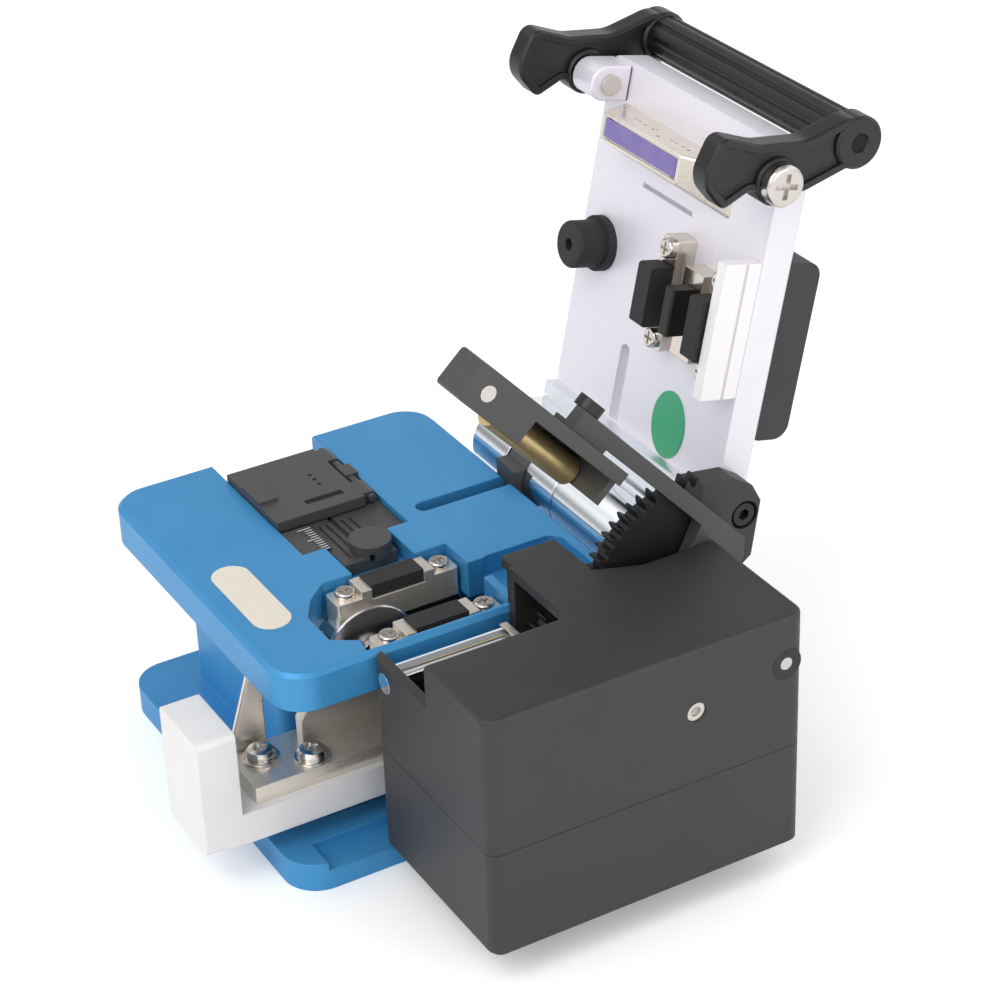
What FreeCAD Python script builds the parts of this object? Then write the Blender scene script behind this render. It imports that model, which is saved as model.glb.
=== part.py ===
"""Bench fibre cleaver with a swinging clamp lid and a scrap bin, as separate bolted pieces.

Frame: origin at the centre of the foot on the bench, +X along the fibre towards the scrap bin,
+Y towards the lid hinge, +Z up, millimetres. The lid, the roller arm and the handle are drawn in
their shut attitude, where their faces are square, and then swung to the open attitude they rest in.
"""
import FreeCAD
import Part
import os
import math

os.makedirs("parts", exist_ok=True)
V = FreeCAD.Vector

# ---- overall sizes -------------------------------------------------------------------------
BODY_LEN = 77.0            # foot and deck along X
BODY_WID = 68.2            # foot and deck along Y
FOOT_T = 5.8
DECK_T = 7.6
DECK_Z = 46.8              # top face of the deck
CORNER_R = 7.0
BODY_X0 = -BODY_LEN / 2
BODY_X1 = BODY_LEN / 2
BODY_Y0 = -BODY_WID / 2
BODY_Y1 = BODY_WID / 2
EDGE_BREAK = 0.8
WEB_CORNER_R = 3.0
OVERCUT = 1.0              # how far a cutting tool runs past the face it opens

# ---- fits ----------------------------------------------------------------------------------
RUN_FIT = 0.05             # radial clearance of a turning bore
SIDE_GAP = 0.3             # side clearance between moving neighbours
SLIDE_GAP = 0.2

# ---- fibre line and clamps -----------------------------------------------------------------
FIBRE_Y = -0.9
CLAMP_L_X = 16.0
CLAMP_R_IN = 5.5           # right clamp to the body's right face
CLAMP_R_X = BODY_X1 - CLAMP_R_IN
CLAMP_W = 5.2
CLAMP_HALF_Y = 12.6        # half length of a lower clamp bar
CLAMP_BAR_T = 7.0
CLAMP_TOP_Z = 46.2
PAD_HALF_Y = 5.4
PAD_PROUD = 0.5
PAD_DEPTH = 2.2            # bed of a lower pad, below the bar's top
PAD_SIDE = 0.3             # pad edge to bar edge
BRACKET_T = 3.4
BRACKET_LEG = 13.0
BRACKET_STEP = 1.0
SCREW_OFF_Y = 9.7          # clamp screw distance from the fibre line
SCREW_STEP = 1.4           # sunk step under a clamp screw head
SCREW_STEP_OFF = 10.1
SCREW_STEP_HALF = 2.6
M2_HEAD_R = 1.95
M2_HEAD_H = 1.3
M2_SHANK_R = 1.0
CROSS_W = 0.5
CROSS_DEPTH = 0.6

# ---- holder channel and fibre holder -------------------------------------------------------
CHANNEL_W = 22.2
CHANNEL_END_X = 2.0
CHANNEL_DEPTH = 6.2
HOLDER_L = 33.0
HOLDER_FIT = 0.15
HOLDER_X0 = -31.0
HOLDER_BASE_T = 5.0
HOLDER_TOP_Z = 48.1
HOLDER_LID_L = 22.0
HOLDER_LID_T = 2.2
HOLDER_PIN_R = 0.8
HOLDER_PIN_IN = 1.5        # pin axis to the holder's rear face
HOLDER_REAR_T = 3.0
HOLDER_LID_GAP = 0.2
HOLDER_NOSE_L = 6.0
HOLDER_NOSE_HALF = 5.5
FIBRE_GROOVE_W = 1.0
FIBRE_GROOVE_D = 0.8
SIDE_GROOVE_PITCH = 1.6
SIDE_GROOVE_W = 0.6
SIDE_GROOVE_D = 0.5
EAR_L = 5.0
EAR_IN = 1.0
TAB_FROM = 0.3             # tab on the flap, as shares of the flap's length
TAB_TO = 0.65
TAB_W = 4.0
TAB_T = 0.6
FLAP_SLOT_FROM = 0.78
FLAP_SLOT_TO = 0.86
FLAP_SLOT_D = 0.8
DOT_R = 0.45
DOT_PITCH = 2.0
DOT_D = 0.5
LOBE_R = 4.0
LOBE_X = 3.0               # thumb lobe centre past the holder's end
LOBE_Y = 1.4
RULER_W = 6.0
RULER_T = 0.8
RULER_MARK_W = 0.2
RULER_MARK_D = 0.2
RULER_MARKS = 8

# ---- hinge, lid ----------------------------------------------------------------------------
HINGE_BEHIND = 8.65        # hinge axis behind the body's rear face
HINGE_Y = BODY_Y1 + HINGE_BEHIND
HINGE_Z = 45.8
HINGE_ROD_R = 3.0
ROD_END_IN = 0.5           # rod end inside the left barrel
BARREL_R = 7.0
BARREL_X0 = -18.5
BARREL_X1 = BODY_X1 - SIDE_GAP
LUG_X0 = -6.0
LUG_X1 = 1.0
GROOVE_X0 = 10.9
GROOVE_X1 = 11.5
GROOVE_DEPTH = 0.5
LID_OPEN = 102.4
LID_X0 = -18.5
LID_X1 = BARREL_X1 - SLIDE_GAP
LID_FACE = 10.4            # inner face above the hinge axis when shut
LID_T = 7.0
LID_NEAR = 6.0             # lid edges, measured out from the hinge axis
LID_SPARE = 10.8           # lid's free end past the body's width
LID_FAR = BODY_WID + LID_SPARE
LID_CORNER_R = 3.0
FLANGE_T = 2.5
FLANGE_FAR = 11.6
LINK_T = 5.2               # black side link bolted to the lid edge
LINK_PAST = 0.1            # link's inner face past the body's right face
LINK_X0 = BODY_X1 + LINK_PAST
LINK_BOLT = (10.6, 13.2)   # bolt place out from the hinge and up
LINK_BOLT_R = 2.3
LINK_SINK_R = 2.85
LINK_SINK_D = 2.4
LINK_SHANK_R = 1.25
LINK_HEX_R = 1.15
LINK_HEX_D = 1.3

# ---- lid fittings --------------------------------------------------------------------------
ANVIL_X = 24.5
ANVIL_W = 2.8
ANVIL_TRAVEL = 0.8
UPPER_PAD_GAP = 0.4        # shut clearance between upper and lower pads
UPPER_BODY_T = 4.2
UPPER_HALF_Y = 11.0
UPPER_CORNER_R = 0.7
UPPER_SCREW_IN = 2.2       # screw to the end of an upper block
UPPER_PAD_R = 0.6
UPPER_PAD_HALF_Y = 5.8
RAIL_IN = 0.1              # rail's outer face to the lid's edge
RAIL_HALF_Y = 14.0
RAIL_T = 8.0
RAIL_GROOVE_D = 0.4
RAIL_GROOVE_W = 0.6
RAIL_GROOVE_DOWN = 2.8
POST_X = -11.5
POST_R = 4.6
POST_H = 7.6
POST_FLANGE_R = 5.4
POST_FLANGE_T = 1.6
POST_BORE_R = 1.2
LABEL_X = 20.0
LABEL_OUT = 18.5
LABEL_RX = 5.2
LABEL_RY = 6.6
LABEL_T = 0.25
KEEPER_X0 = -12.0
KEEPER_X1 = 26.0
KEEPER_W = 9.5
KEEPER_H = 7.2
INSET_X0 = -9.5
INSET_X1 = 20.0
INSET_T = 0.8
INSET_H = 4.6
BACK_PAD_X0 = 2.0
BACK_PAD_X1 = 35.0
BACK_PAD_OUT0 = 21.0
BACK_PAD_OUT1 = 56.0
BACK_PAD_T = 9.0
BACK_PAD_R = 3.0
BACK_PAD_LIP = 1.0
LID_SLOT_X = 2.4
LID_SLOT_W = 3.0
LID_SLOT_OUT0 = 12.0
LID_SLOT_OUT1 = 26.0
LID_SLIT_X0 = -1.5
LID_SLIT_X1 = 15.0
LID_SLIT_OUT = 58.4
LID_SLIT_W = 0.9
LID_SLIT_D = 1.5

# ---- carrying handle with latch hooks ------------------------------------------------------
BAIL_IN = 4.2              # pivot to the lid's free end
BAIL_OUT = LID_FAR - BAIL_IN
BAIL_UP = 5.8              # pivot, above the hinge axis when shut
BAIL_ARM_T = 5.0
BAIL_SIDE = 0.4
BAIL_BOSS_R = 4.4
BAIL_BAR = (-6.7, 16.3)    # bar centre from the pivot: Y, Z when shut and not swung
BAIL_BAR_R = 4.6
BAIL_BAR_STEP = 0.4        # grip bar radius below its end bosses
BAIL_BAR_BORE_R = 1.7
BAIL_BAR_BORE_D = 5.0
BAR_FLUTE_R = 0.7
BAR_FLUTES = 10
PIVOT_BAR_HALF = 3.6
KEEPER_OUT1 = BAIL_OUT - PIVOT_BAR_HALF - SLIDE_GAP
KEEPER_OUT0 = KEEPER_OUT1 - KEEPER_W
PIVOT_PIN_R = 2.0
M4_HEAD_R = 3.9
M4_HEAD_H = 2.4

# ---- scrap bin -----------------------------------------------------------------------------
BIN_LEN = 40.5
BIN_X1 = BODY_X1 + BIN_LEN
BIN_Y0 = -16.9
BIN_BEHIND = 3.85          # bin's rear face behind the hinge axis
BIN_Y1 = HINGE_Y + BIN_BEHIND
BIN_Z0 = 6.5
BIN_Z1 = 55.5
BIN_SEAM_Z = 28.2
BIN_WALL = 2.0
BIN_R = 2.5
LEDGE_Z = 46.9
MOUTH_Z = 38.0             # sill of the opening beside the scrap roller
WINDOW_LEN = 20.0          # opening in the bin's top, from the body's face
WINDOW_X1 = BODY_X1 + WINDOW_LEN
WINDOW_Y1 = 11.0
TONGUE_LAP = 3.5           # tongue of the bin over the deck
TONGUE_X0 = BODY_X1 - TONGUE_LAP
TONGUE_NEAR = 20.15        # the tongue's sides, out from the hinge axis
TONGUE_FAR = 31.15
TONGUE_Y0 = HINGE_Y - TONGUE_FAR
TONGUE_Y1 = HINGE_Y - TONGUE_NEAR
SLOT_LEN = 12.7            # gear slot of the bin, from the body's face
SLOT_X1 = BODY_X1 + SLOT_LEN
SLOT_Y0 = TONGUE_Y1 + SLIDE_GAP
SLOT_STEP = 2.4
SLOT_Y1 = SLOT_Y0 + SLOT_STEP
SLOT_Z0 = 34.0
BIN_SCREW = (24.2, 42.6)
BIN_SCREW_R = 1.9

# ---- scrap rollers and drive ---------------------------------------------------------------
ROLLER_IN = 4.2            # roller axis past the body's right face
ROLLER_X = BODY_X1 + ROLLER_IN
ROLLER_Z = 43.0
ROLLER_R = 2.85
ROLLER_Y0 = -14.6
ROLLER_Y1 = 7.4
ROLLER_PIN_R = 2.0
BEARING_T = 1.5
BEARING_RISE = 2.6         # bearing wall top above the roller axis
TOOTH_MODULE = 0.7
SECTOR_TEETH = 58          # teeth of the whole circle the sector is cut from
PINION_TEETH = 16
SHAFT_R = 1.5              # cross shaft of the pinion
SECTOR_FROM = 82.0         # sector span, degrees from +Y with the lid open
SECTOR_TO = 167.0
SECTOR_W = 3.4
TOOTH_PLAY = 0.12          # flank play of the gear pair, each side
BEVEL_R = 1.3
BEVEL_GAP = 0.15
BEVEL_T = 0.8
ROLLER_TAIL_R = 1.2
BRASS_R = 2.7
BRASS_GAP = 0.25           # shut gap between the rollers
BRASS_PIN_R = 1.0

# ---- roller arm ----------------------------------------------------------------------------
ARM_OPEN = 47.5
ARM_PAST = 0.5             # arm frame past the body's right face
ARM_X0 = BODY_X1 + ARM_PAST
ARM_W = 15.0
ARM_X1 = ARM_X0 + ARM_W
ARM_REAR = 33.5            # frame ends, out from the hinge axis
ARM_MID = 57.3
ARM_FRONT = 73.4
ARM_LOW = 1.5
ARM_HIGH = 9.0
ARM_WALL = 1.3
ARM_RAIL_H = 2.6
ARM_NOSE_X0 = ARM_X0 + 7.5
ARM_BAR_X0 = ARM_X0 + 8.6
ARM_BAR_T = 3.0
ARM_BAR_LOW = 9.9
ARM_BAR_HIGH = 13.0
ARM_BAR_FAR = 47.0
ARM_BAR_DROP = 9.0
ARM_HUB_R = 6.0
ARM_PIN_R = 1.5
ARM_PIN_AT = (69.0, 5.2)

# ---- blade slide ---------------------------------------------------------------------------
SLIDE_TRAVEL = 14.8
SLIDER_X0 = 14.5
SLIDER_X1 = 30.5
SLIDER_Y0 = -48.0
SLIDER_Y1 = -1.0
SLIDER_Z0 = 10.0
SLIDER_Z1 = 34.0
SLIDER_WALL = 7.5
SLIDER_FLOOR = 6.5
SLIDER_R = 1.2
RAIL_Y0 = -22.0
RAIL_Y1 = 20.0
RAIL_HALF_W = 5.0
RAIL_LIP = 1.6
RAIL_RISE = 2.6            # rail top above the slider's underside
RAIL_HEAD_T = 1.4
BLADE_R = 9.0
BLADE_T = 0.6
BLADE_Y = -10.2
BLADE_RUN_SPARE = 3.4      # room past the blade at the end of its travel
BLADE_HUB_R = 3.4
BLADE_BORE_R = 1.5
BLADE_CLAMP_R = 2.8
BLADE_CLAMP_T = 1.4
BLADE_CLAMP_SLIT = 0.6
BLADE_SEAT_GAP = 0.1       # blade side play between hub and screw head
CARRIER_T = 3.5
CARRIER_X1 = 29.0
CARRIER_Y0 = -37.0
CARRIER_WALL_X0 = CLAMP_L_X + CLAMP_W / 2 + BRACKET_STEP
CARRIER_WALL_T = 2.4
M3_HEAD_R = 2.75
M3_HEAD_H = 2.6
M2_5_SHANK_R = 1.25
WASHER_R = 3.6
WASHER_T = 0.6

# ---- body web ------------------------------------------------------------------------------
WEB_X0 = -32.0
WEB_X1 = 8.0
WEB_Y0 = -22.0
WEB_Y1 = 30.0
REAR_WALL_Y = 22.0
FOOT_POCKET_IN = 6.0
FOOT_POCKET_REACH = 12.0
FOOT_POCKET_D = 1.6
INLAY_X = 10.0
INLAY_Y = -26.5
INLAY_L = 24.0
INLAY_W = 7.3
INLAY_T = 1.2
INLAY_PROUD = 0.15
DECK_SLOT_X0 = -3.1
DECK_SLOT_X1 = 0.4
DECK_SLOT_Y0 = 15.5
DECK_SLOT_Z = 41.0
TONGUE_T = 2.6
RECESS_X0 = 20.7
RECESS_Y0 = 13.9
RECESS_Y1 = 31.5
RECESS_Z = 42.6
BRIDGE_W = 13.0
BRIDGE_Z = 43.0

# ---- places worked out from the sizes above ------------------------------------------------
DECK_LOW = DECK_Z - DECK_T
BIN_X0 = BODY_X1
CHANNEL_Y0 = FIBRE_Y - CHANNEL_W / 2
CHANNEL_Y1 = FIBRE_Y + CHANNEL_W / 2
CHANNEL_Z = DECK_Z - CHANNEL_DEPTH
LID_LOW_Z = HINGE_Z + LID_FACE
LID_TOP_Z = LID_LOW_Z + LID_T
CLAMP_Z0 = CLAMP_TOP_Z - CLAMP_BAR_T
PITCH_S = TOOTH_MODULE * SECTOR_TEETH / 2
PITCH_P = TOOTH_MODULE * PINION_TEETH / 2
SHAFT_Z = ROLLER_Z
SHAFT_Y = HINGE_Y - math.sqrt((PITCH_S + PITCH_P) ** 2 - (HINGE_Z - SHAFT_Z) ** 2)
BRASS_Z = ROLLER_Z + ROLLER_R + BRASS_GAP + BRASS_R
SECTOR_X0 = LINK_X0 + LINK_T
BLADE_Z = CLAMP_TOP_Z + PAD_PROUD - BLADE_R


# ---- small helpers -------------------------------------------------------------------------
def block(x0, x1, y0, y1, z0, z1):
    """Box between two corners."""
    return Part.makeBox(x1 - x0, y1 - y0, z1 - z0, V(x0, y0, z0))


def rod(axis, start, radius, length):
    """Round bar from a start point along +X, +Y or +Z."""
    way = {"x": V(1, 0, 0), "y": V(0, 1, 0), "z": V(0, 0, 1)}[axis]
    return Part.makeCylinder(radius, length, V(*start), way)


def join(*shapes):
    """One solid from touching or crossing shapes."""
    whole = shapes[0].fuse(list(shapes[1:]))
    return whole.removeSplitter()


def soften(shape, radius, axis):
    """Round the straight edges that run along one axis."""
    keep = []
    for edge in shape.Edges:
        if edge.Curve.TypeId != "Part::GeomLine":
            continue
        way = edge.Curve.Direction
        if abs(getattr(way, axis)) > 0.999:
            keep.append(edge)
    return shape.makeFillet(radius, keep)


def plate(points, x0, x1):
    """Flat plate with an outline in the Y-Z plane, thick along X."""
    loop = [V(x0, y, z) for y, z in points]
    face = Part.Face(Part.makePolygon(loop + loop[:1]))
    return face.extrude(V(x1 - x0, 0, 0))


def slab(points, z0, z1):
    """Flat plate with an outline in the X-Y plane, thick along Z."""
    loop = [V(x, y, z0) for x, y in points]
    face = Part.Face(Part.makePolygon(loop + loop[:1]))
    return face.extrude(V(0, 0, z1 - z0))


def oblong(x, y, length, width, z0, z1):
    """Bar with round ends, long along X."""
    half = (length - width) / 2
    core = block(x - half, x + half, y - width / 2, y + width / 2, z0, z1)
    ends = [rod("z", (x + side * half, y, z0), width / 2, z1 - z0) for side in (-1, 1)]
    return join(core, *ends)


def swing(shape, degrees, y=HINGE_Y, z=HINGE_Z):
    """Turn a copy about an X axis through a point."""
    copy = shape.copy()
    copy.rotate(V(0, y, z), V(1, 0, 0), degrees)
    return copy


def lid_open(shape):
    """Shut attitude of a lid piece to the open one."""
    return swing(shape, -LID_OPEN)


def arm_open(shape):
    """Shut attitude of an arm piece to the raised one."""
    return swing(shape, -ARM_OPEN)


def out(distance):
    """Y of a place that lies a distance out from the hinge axis when shut."""
    return HINGE_Y - distance


def up(height):
    """Z of a place at a height over the hinge axis when shut."""
    return HINGE_Z + height


def pan_screw(x, y, z, head_r, head_h, shank_r, shank_l, way=1):
    """Cross-head screw standing on z; way is +1 for a head that points up, -1 for down."""
    low = z if way > 0 else z - head_h
    head = rod("z", (x, y, low), head_r, head_h)
    outer = low + head_h if way > 0 else low
    rim = [e for e in head.Edges if abs(e.BoundBox.ZMin - outer) < 1e-6]
    head = head.makeFillet(head_h * 0.4, [e for e in rim if e.Curve.TypeId == "Part::GeomCircle"])
    top = z + head_h - CROSS_DEPTH if way > 0 else z - head_h
    arm = head_r * 1.2
    cut_a = block(x - arm / 2, x + arm / 2, y - CROSS_W / 2, y + CROSS_W / 2, top, top + CROSS_DEPTH)
    cut_b = block(x - CROSS_W / 2, x + CROSS_W / 2, y - arm / 2, y + arm / 2, top, top + CROSS_DEPTH)
    shank = rod("z", (x, y, z - shank_l if way > 0 else z), shank_r, shank_l)
    return join(head, shank).cut(cut_a.fuse(cut_b))


def save(name, shape):
    """Write one node."""
    shape.exportStep("parts/" + name + ".step")


def save_set(name, shapes):
    """Write one node made of several separate solids."""
    save(name, Part.makeCompound(shapes))


# ---- gear teeth ----------------------------------------------------------------------------
def flank(pitch_r, teeth, side):
    """Points of one tooth side from root to tip, about the tooth's own centre line."""
    base_r = pitch_r * math.cos(math.radians(20))
    inv_pitch = math.tan(math.radians(20)) - math.radians(20)
    half = math.pi / (2 * teeth) - TOOTH_PLAY / pitch_r
    points = []
    for step in range(5):
        radius = base_r + (pitch_r + TOOTH_MODULE * 0.9 - base_r) * step / 4
        angle = math.acos(min(1.0, base_r / radius))
        turn = half + inv_pitch - (math.tan(angle) - angle)
        points.append((radius, side * turn))
    return points


def tooth(pitch_r, teeth, centre, angle, x0, x1):
    """One involute tooth standing on the root circle at an angle from +Y."""
    root = pitch_r - 1.4 * TOOTH_MODULE
    left = flank(pitch_r, teeth, -1)
    right = flank(pitch_r, teeth, 1)
    polar = [(root, left[0][1])] + left + right[::-1] + [(root, right[0][1])]
    spots = [(centre[0] + r * math.cos(angle + t), centre[1] + r * math.sin(angle + t))
             for r, t in polar]
    return plate(spots, x0, x1)


def gear(pitch_r, teeth, centre, angles, x0, x1):
    """Teeth at the given angles with the disc they stand on."""
    root = pitch_r - 1.3 * TOOTH_MODULE
    disc = rod("x", (x0, centre[0], centre[1]), root, x1 - x0)
    return disc, [tooth(pitch_r, teeth, centre, a, x0, x1) for a in angles]


# ---- body ----------------------------------------------------------------------------------
def body_frame():
    """Foot, web and deck cut from one block, with every pocket the other pieces sit in."""
    foot = soften(block(BODY_X0, BODY_X1, BODY_Y0, BODY_Y1, 0, FOOT_T), CORNER_R, "z")
    deck = soften(block(BODY_X0, BODY_X1, BODY_Y0, BODY_Y1, DECK_LOW, DECK_Z), CORNER_R, "z")
    rim = [e for e in deck.Edges if abs(e.BoundBox.ZMin - DECK_Z) < 1e-6]
    deck = deck.makeChamfer(EDGE_BREAK, rim)
    column = block(WEB_X0, WEB_X1, WEB_Y0, WEB_Y1, FOOT_T, DECK_LOW)
    wall = block(WEB_X0, BODY_X1, REAR_WALL_Y, WEB_Y1, FOOT_T, DECK_LOW)
    body = join(foot, soften(join(column, wall), 3.0, "z"), deck)
    channel = block(BODY_X0 - 1, CHANNEL_END_X, CHANNEL_Y0, CHANNEL_Y1, CHANNEL_Z, DECK_Z + 1)
    bridge = block(CHANNEL_END_X - 1, CLAMP_L_X, FIBRE_Y - BRIDGE_W / 2, FIBRE_Y + BRIDGE_W / 2,
                   BRIDGE_Z, DECK_Z + 1)
    left = CLAMP_L_X - CLAMP_W / 2 - 0.6
    right = CLAMP_R_X + CLAMP_W / 2 + 1.3
    pocket = slab([(left + 4.0, BODY_Y0 + 16.2), (ANVIL_X - 2.7, BODY_Y0 + 13.2),
                   (ANVIL_X + 5.9, BODY_Y0 + 13.2), (CLAMP_R_X + 0.3, BODY_Y0 + 17.6),
                   (right, BODY_Y0 + 17.1), (right, FIBRE_Y + CLAMP_HALF_Y + 0.5),
                   (left, FIBRE_Y + CLAMP_HALF_Y + 0.5), (left, BODY_Y0 + 20.6)],
                  DECK_LOW - OVERCUT, DECK_Z + OVERCUT)
    blade_run = block(ANVIL_X - 3.4, ANVIL_X + 2.6, BLADE_Y,
                      BLADE_Y + SLIDE_TRAVEL + BLADE_R + BLADE_RUN_SPARE,
                      DECK_LOW - 1, DECK_Z + 1)
    slot = join(block(DECK_SLOT_X0, DECK_SLOT_X1, DECK_SLOT_Y0, BODY_Y1 + OVERCUT, DECK_SLOT_Z,
                      DECK_Z + OVERCUT),
                rod("z", ((DECK_SLOT_X0 + DECK_SLOT_X1) / 2, DECK_SLOT_Y0, DECK_SLOT_Z),
                    (DECK_SLOT_X1 - DECK_SLOT_X0) / 2, DECK_Z + 1 - DECK_SLOT_Z))
    recess = block(RECESS_X0, BODY_X1 + 1, RECESS_Y0, RECESS_Y1, RECESS_Z, DECK_Z + 1)
    recess = soften(recess, 3.0, "z")
    inlay = oblong(INLAY_X, INLAY_Y, INLAY_L, INLAY_W, DECK_Z - INLAY_T, DECK_Z + 1)
    foot_pocket = block(SLIDER_X1 + OVERCUT, BODY_X1 + OVERCUT, BODY_Y0 + FOOT_POCKET_IN,
                        WEB_Y0 + FOOT_POCKET_REACH, FOOT_T - FOOT_POCKET_D, FOOT_T + OVERCUT)
    return body.cut([channel, bridge, pocket, blade_run, slot, recess, inlay, foot_pocket])


def inlay_plate():
    """Oblong plate set in the deck."""
    return oblong(INLAY_X, INLAY_Y, INLAY_L, INLAY_W, DECK_Z - INLAY_T, DECK_Z + INLAY_PROUD)


def hinge_bracket():
    """Middle knuckle that stands behind the deck on a tongue laid in the rear slot."""
    knuckle = rod("x", (LUG_X0, HINGE_Y, HINGE_Z), BARREL_R - 0.2, LUG_X1 - LUG_X0)
    stalk = block(LUG_X0, LUG_X1, BODY_Y1, HINGE_Y, DECK_LOW, HINGE_Z + 3.5)
    tongue = block(DECK_SLOT_X0, DECK_SLOT_X1, DECK_SLOT_Y0 + 2, BODY_Y1 + 1,
                   DECK_SLOT_Z, DECK_SLOT_Z + TONGUE_T)
    bore = rod("x", (LUG_X0 - 1, HINGE_Y, HINGE_Z), HINGE_ROD_R, LUG_X1 - LUG_X0 + 2)
    return join(knuckle, stalk, tongue).cut(bore)


def hinge_rod():
    """Hinge shaft from the left barrel to the far wall of the bin."""
    return rod("x", (BARREL_X0 + 0.5, HINGE_Y, HINGE_Z), HINGE_ROD_R, BIN_X1 - BARREL_X0 - 0.6)


def clamp_bar(x):
    """Plated lower clamp bar with raised end blocks and the bed for its pad."""
    x0 = x - CLAMP_W / 2
    x1 = x + CLAMP_W / 2
    bar = block(x0, x1, FIBRE_Y - CLAMP_HALF_Y, FIBRE_Y + CLAMP_HALF_Y, CLAMP_Z0, CLAMP_TOP_Z)
    bed = block(x0 - OVERCUT, x1 + OVERCUT, FIBRE_Y - PAD_HALF_Y, FIBRE_Y + PAD_HALF_Y,
                CLAMP_TOP_Z - PAD_DEPTH, CLAMP_TOP_Z + OVERCUT)
    low = [block(x0 - OVERCUT, x1 + OVERCUT, FIBRE_Y + side * SCREW_STEP_OFF - SCREW_STEP_HALF,
                 FIBRE_Y + side * SCREW_STEP_OFF + SCREW_STEP_HALF,
                 CLAMP_TOP_Z - SCREW_STEP, CLAMP_TOP_Z + OVERCUT)
           for side in (-1, 1)]
    holes = screw_holes(x, CLAMP_Z0 - OVERCUT, CLAMP_BAR_T + 2 * OVERCUT)
    return soften(bar, EDGE_BREAK, "z").cut([bed] + low + holes)


def clamp_pad(x):
    """Rubber pad lying in a clamp bar."""
    half = CLAMP_W / 2 - PAD_SIDE
    return block(x - half, x + half, FIBRE_Y - PAD_HALF_Y, FIBRE_Y + PAD_HALF_Y,
                 CLAMP_TOP_Z - PAD_DEPTH, CLAMP_TOP_Z + PAD_PROUD)


def clamp_screws():
    """Cross-head screws that hold both lower clamp bars."""
    seat = CLAMP_TOP_Z - SCREW_STEP
    return [pan_screw(x, FIBRE_Y + side * SCREW_OFF_Y, seat, M2_HEAD_R, M2_HEAD_H, M2_SHANK_R,
                      seat - CLAMP_Z0 + BRACKET_T - 0.6)
            for x in (CLAMP_L_X, CLAMP_R_X) for side in (-1, 1)]


def screw_holes(x, z0, height):
    """Tapped holes under a clamp bar."""
    return [rod("z", (x, FIBRE_Y + side * SCREW_OFF_Y, z0), M2_SHANK_R, height) for side in (-1, 1)]


def left_bracket():
    """Plated angle that carries the left clamp bar off the web."""
    x1 = CLAMP_L_X + CLAMP_W / 2
    top = block(WEB_X1, x1, FIBRE_Y - CLAMP_HALF_Y, FIBRE_Y + CLAMP_HALF_Y,
                CLAMP_Z0 - BRACKET_T, CLAMP_Z0)
    leg = block(WEB_X1, WEB_X1 + BRACKET_T, FIBRE_Y - CLAMP_HALF_Y, FIBRE_Y + CLAMP_HALF_Y,
                CLAMP_Z0 - BRACKET_LEG, CLAMP_Z0)
    return join(top, leg).cut(screw_holes(CLAMP_L_X, CLAMP_Z0 - BRACKET_T - 1, BRACKET_T + 2))


def right_bracket():
    """Plated shelf that carries the right clamp bar off the rear wall."""
    x0 = CLAMP_R_X - CLAMP_W / 2
    x1 = CLAMP_R_X + CLAMP_W / 2
    top = block(x0, x1, FIBRE_Y - CLAMP_HALF_Y, REAR_WALL_Y, CLAMP_Z0 - BRACKET_T,
                CLAMP_Z0 - BRACKET_STEP)
    seat = block(x0, x1, FIBRE_Y - CLAMP_HALF_Y, FIBRE_Y + CLAMP_HALF_Y,
                 CLAMP_Z0 - BRACKET_STEP, CLAMP_Z0)
    leg = block(x0, x1, REAR_WALL_Y - BRACKET_T, REAR_WALL_Y, CLAMP_Z0 - BRACKET_LEG,
                CLAMP_Z0 - BRACKET_STEP)
    return join(top, seat, leg).cut(screw_holes(CLAMP_R_X, CLAMP_Z0 - BRACKET_T - 1, BRACKET_T + 2))


# ---- fibre holder --------------------------------------------------------------------------
def holder_base():
    """Holder body lying in the channel, with the graduated front plate bed and thumb lobe."""
    y0 = CHANNEL_Y0 + HOLDER_FIT
    y1 = CHANNEL_Y1 - HOLDER_FIT
    x1 = HOLDER_X0 + HOLDER_L
    base = block(HOLDER_X0, x1 - HOLDER_FIT, y0, y1, CHANNEL_Z, CHANNEL_Z + HOLDER_BASE_T)
    nose = block(x1 - OVERCUT, x1 + HOLDER_NOSE_L, FIBRE_Y - HOLDER_NOSE_HALF, FIBRE_Y + HOLDER_NOSE_HALF,
                 BRIDGE_Z, CHANNEL_Z + HOLDER_BASE_T)
    lobe = rod("z", (x1 + LOBE_X, FIBRE_Y + LOBE_Y, BRIDGE_Z + 2.0), LOBE_R, 3.0)
    bed_z = CHANNEL_Z + HOLDER_BASE_T
    rear = block(HOLDER_X0, HOLDER_X0 + HOLDER_LID_L, y1 - HOLDER_REAR_T, y1, bed_z,
                 HOLDER_TOP_Z - HOLDER_LID_T - HOLDER_LID_GAP)
    groove = block(HOLDER_X0 - OVERCUT, x1 + HOLDER_NOSE_L + OVERCUT, FIBRE_Y - FIBRE_GROOVE_W / 2,
                   FIBRE_Y + FIBRE_GROOVE_W / 2, bed_z - FIBRE_GROOVE_D, bed_z + OVERCUT)
    side_grooves = [block(HOLDER_X0 + HOLDER_LID_L + 1.5, x1 + 4,
                          FIBRE_Y + k * SIDE_GROOVE_PITCH - SIDE_GROOVE_W / 2,
                          FIBRE_Y + k * SIDE_GROOVE_PITCH + SIDE_GROOVE_W / 2,
                          bed_z - SIDE_GROOVE_D, bed_z + OVERCUT) for k in (-2, -1, 1, 2)]
    return join(base, nose, lobe, rear).cut([groove] + side_grooves)


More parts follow.
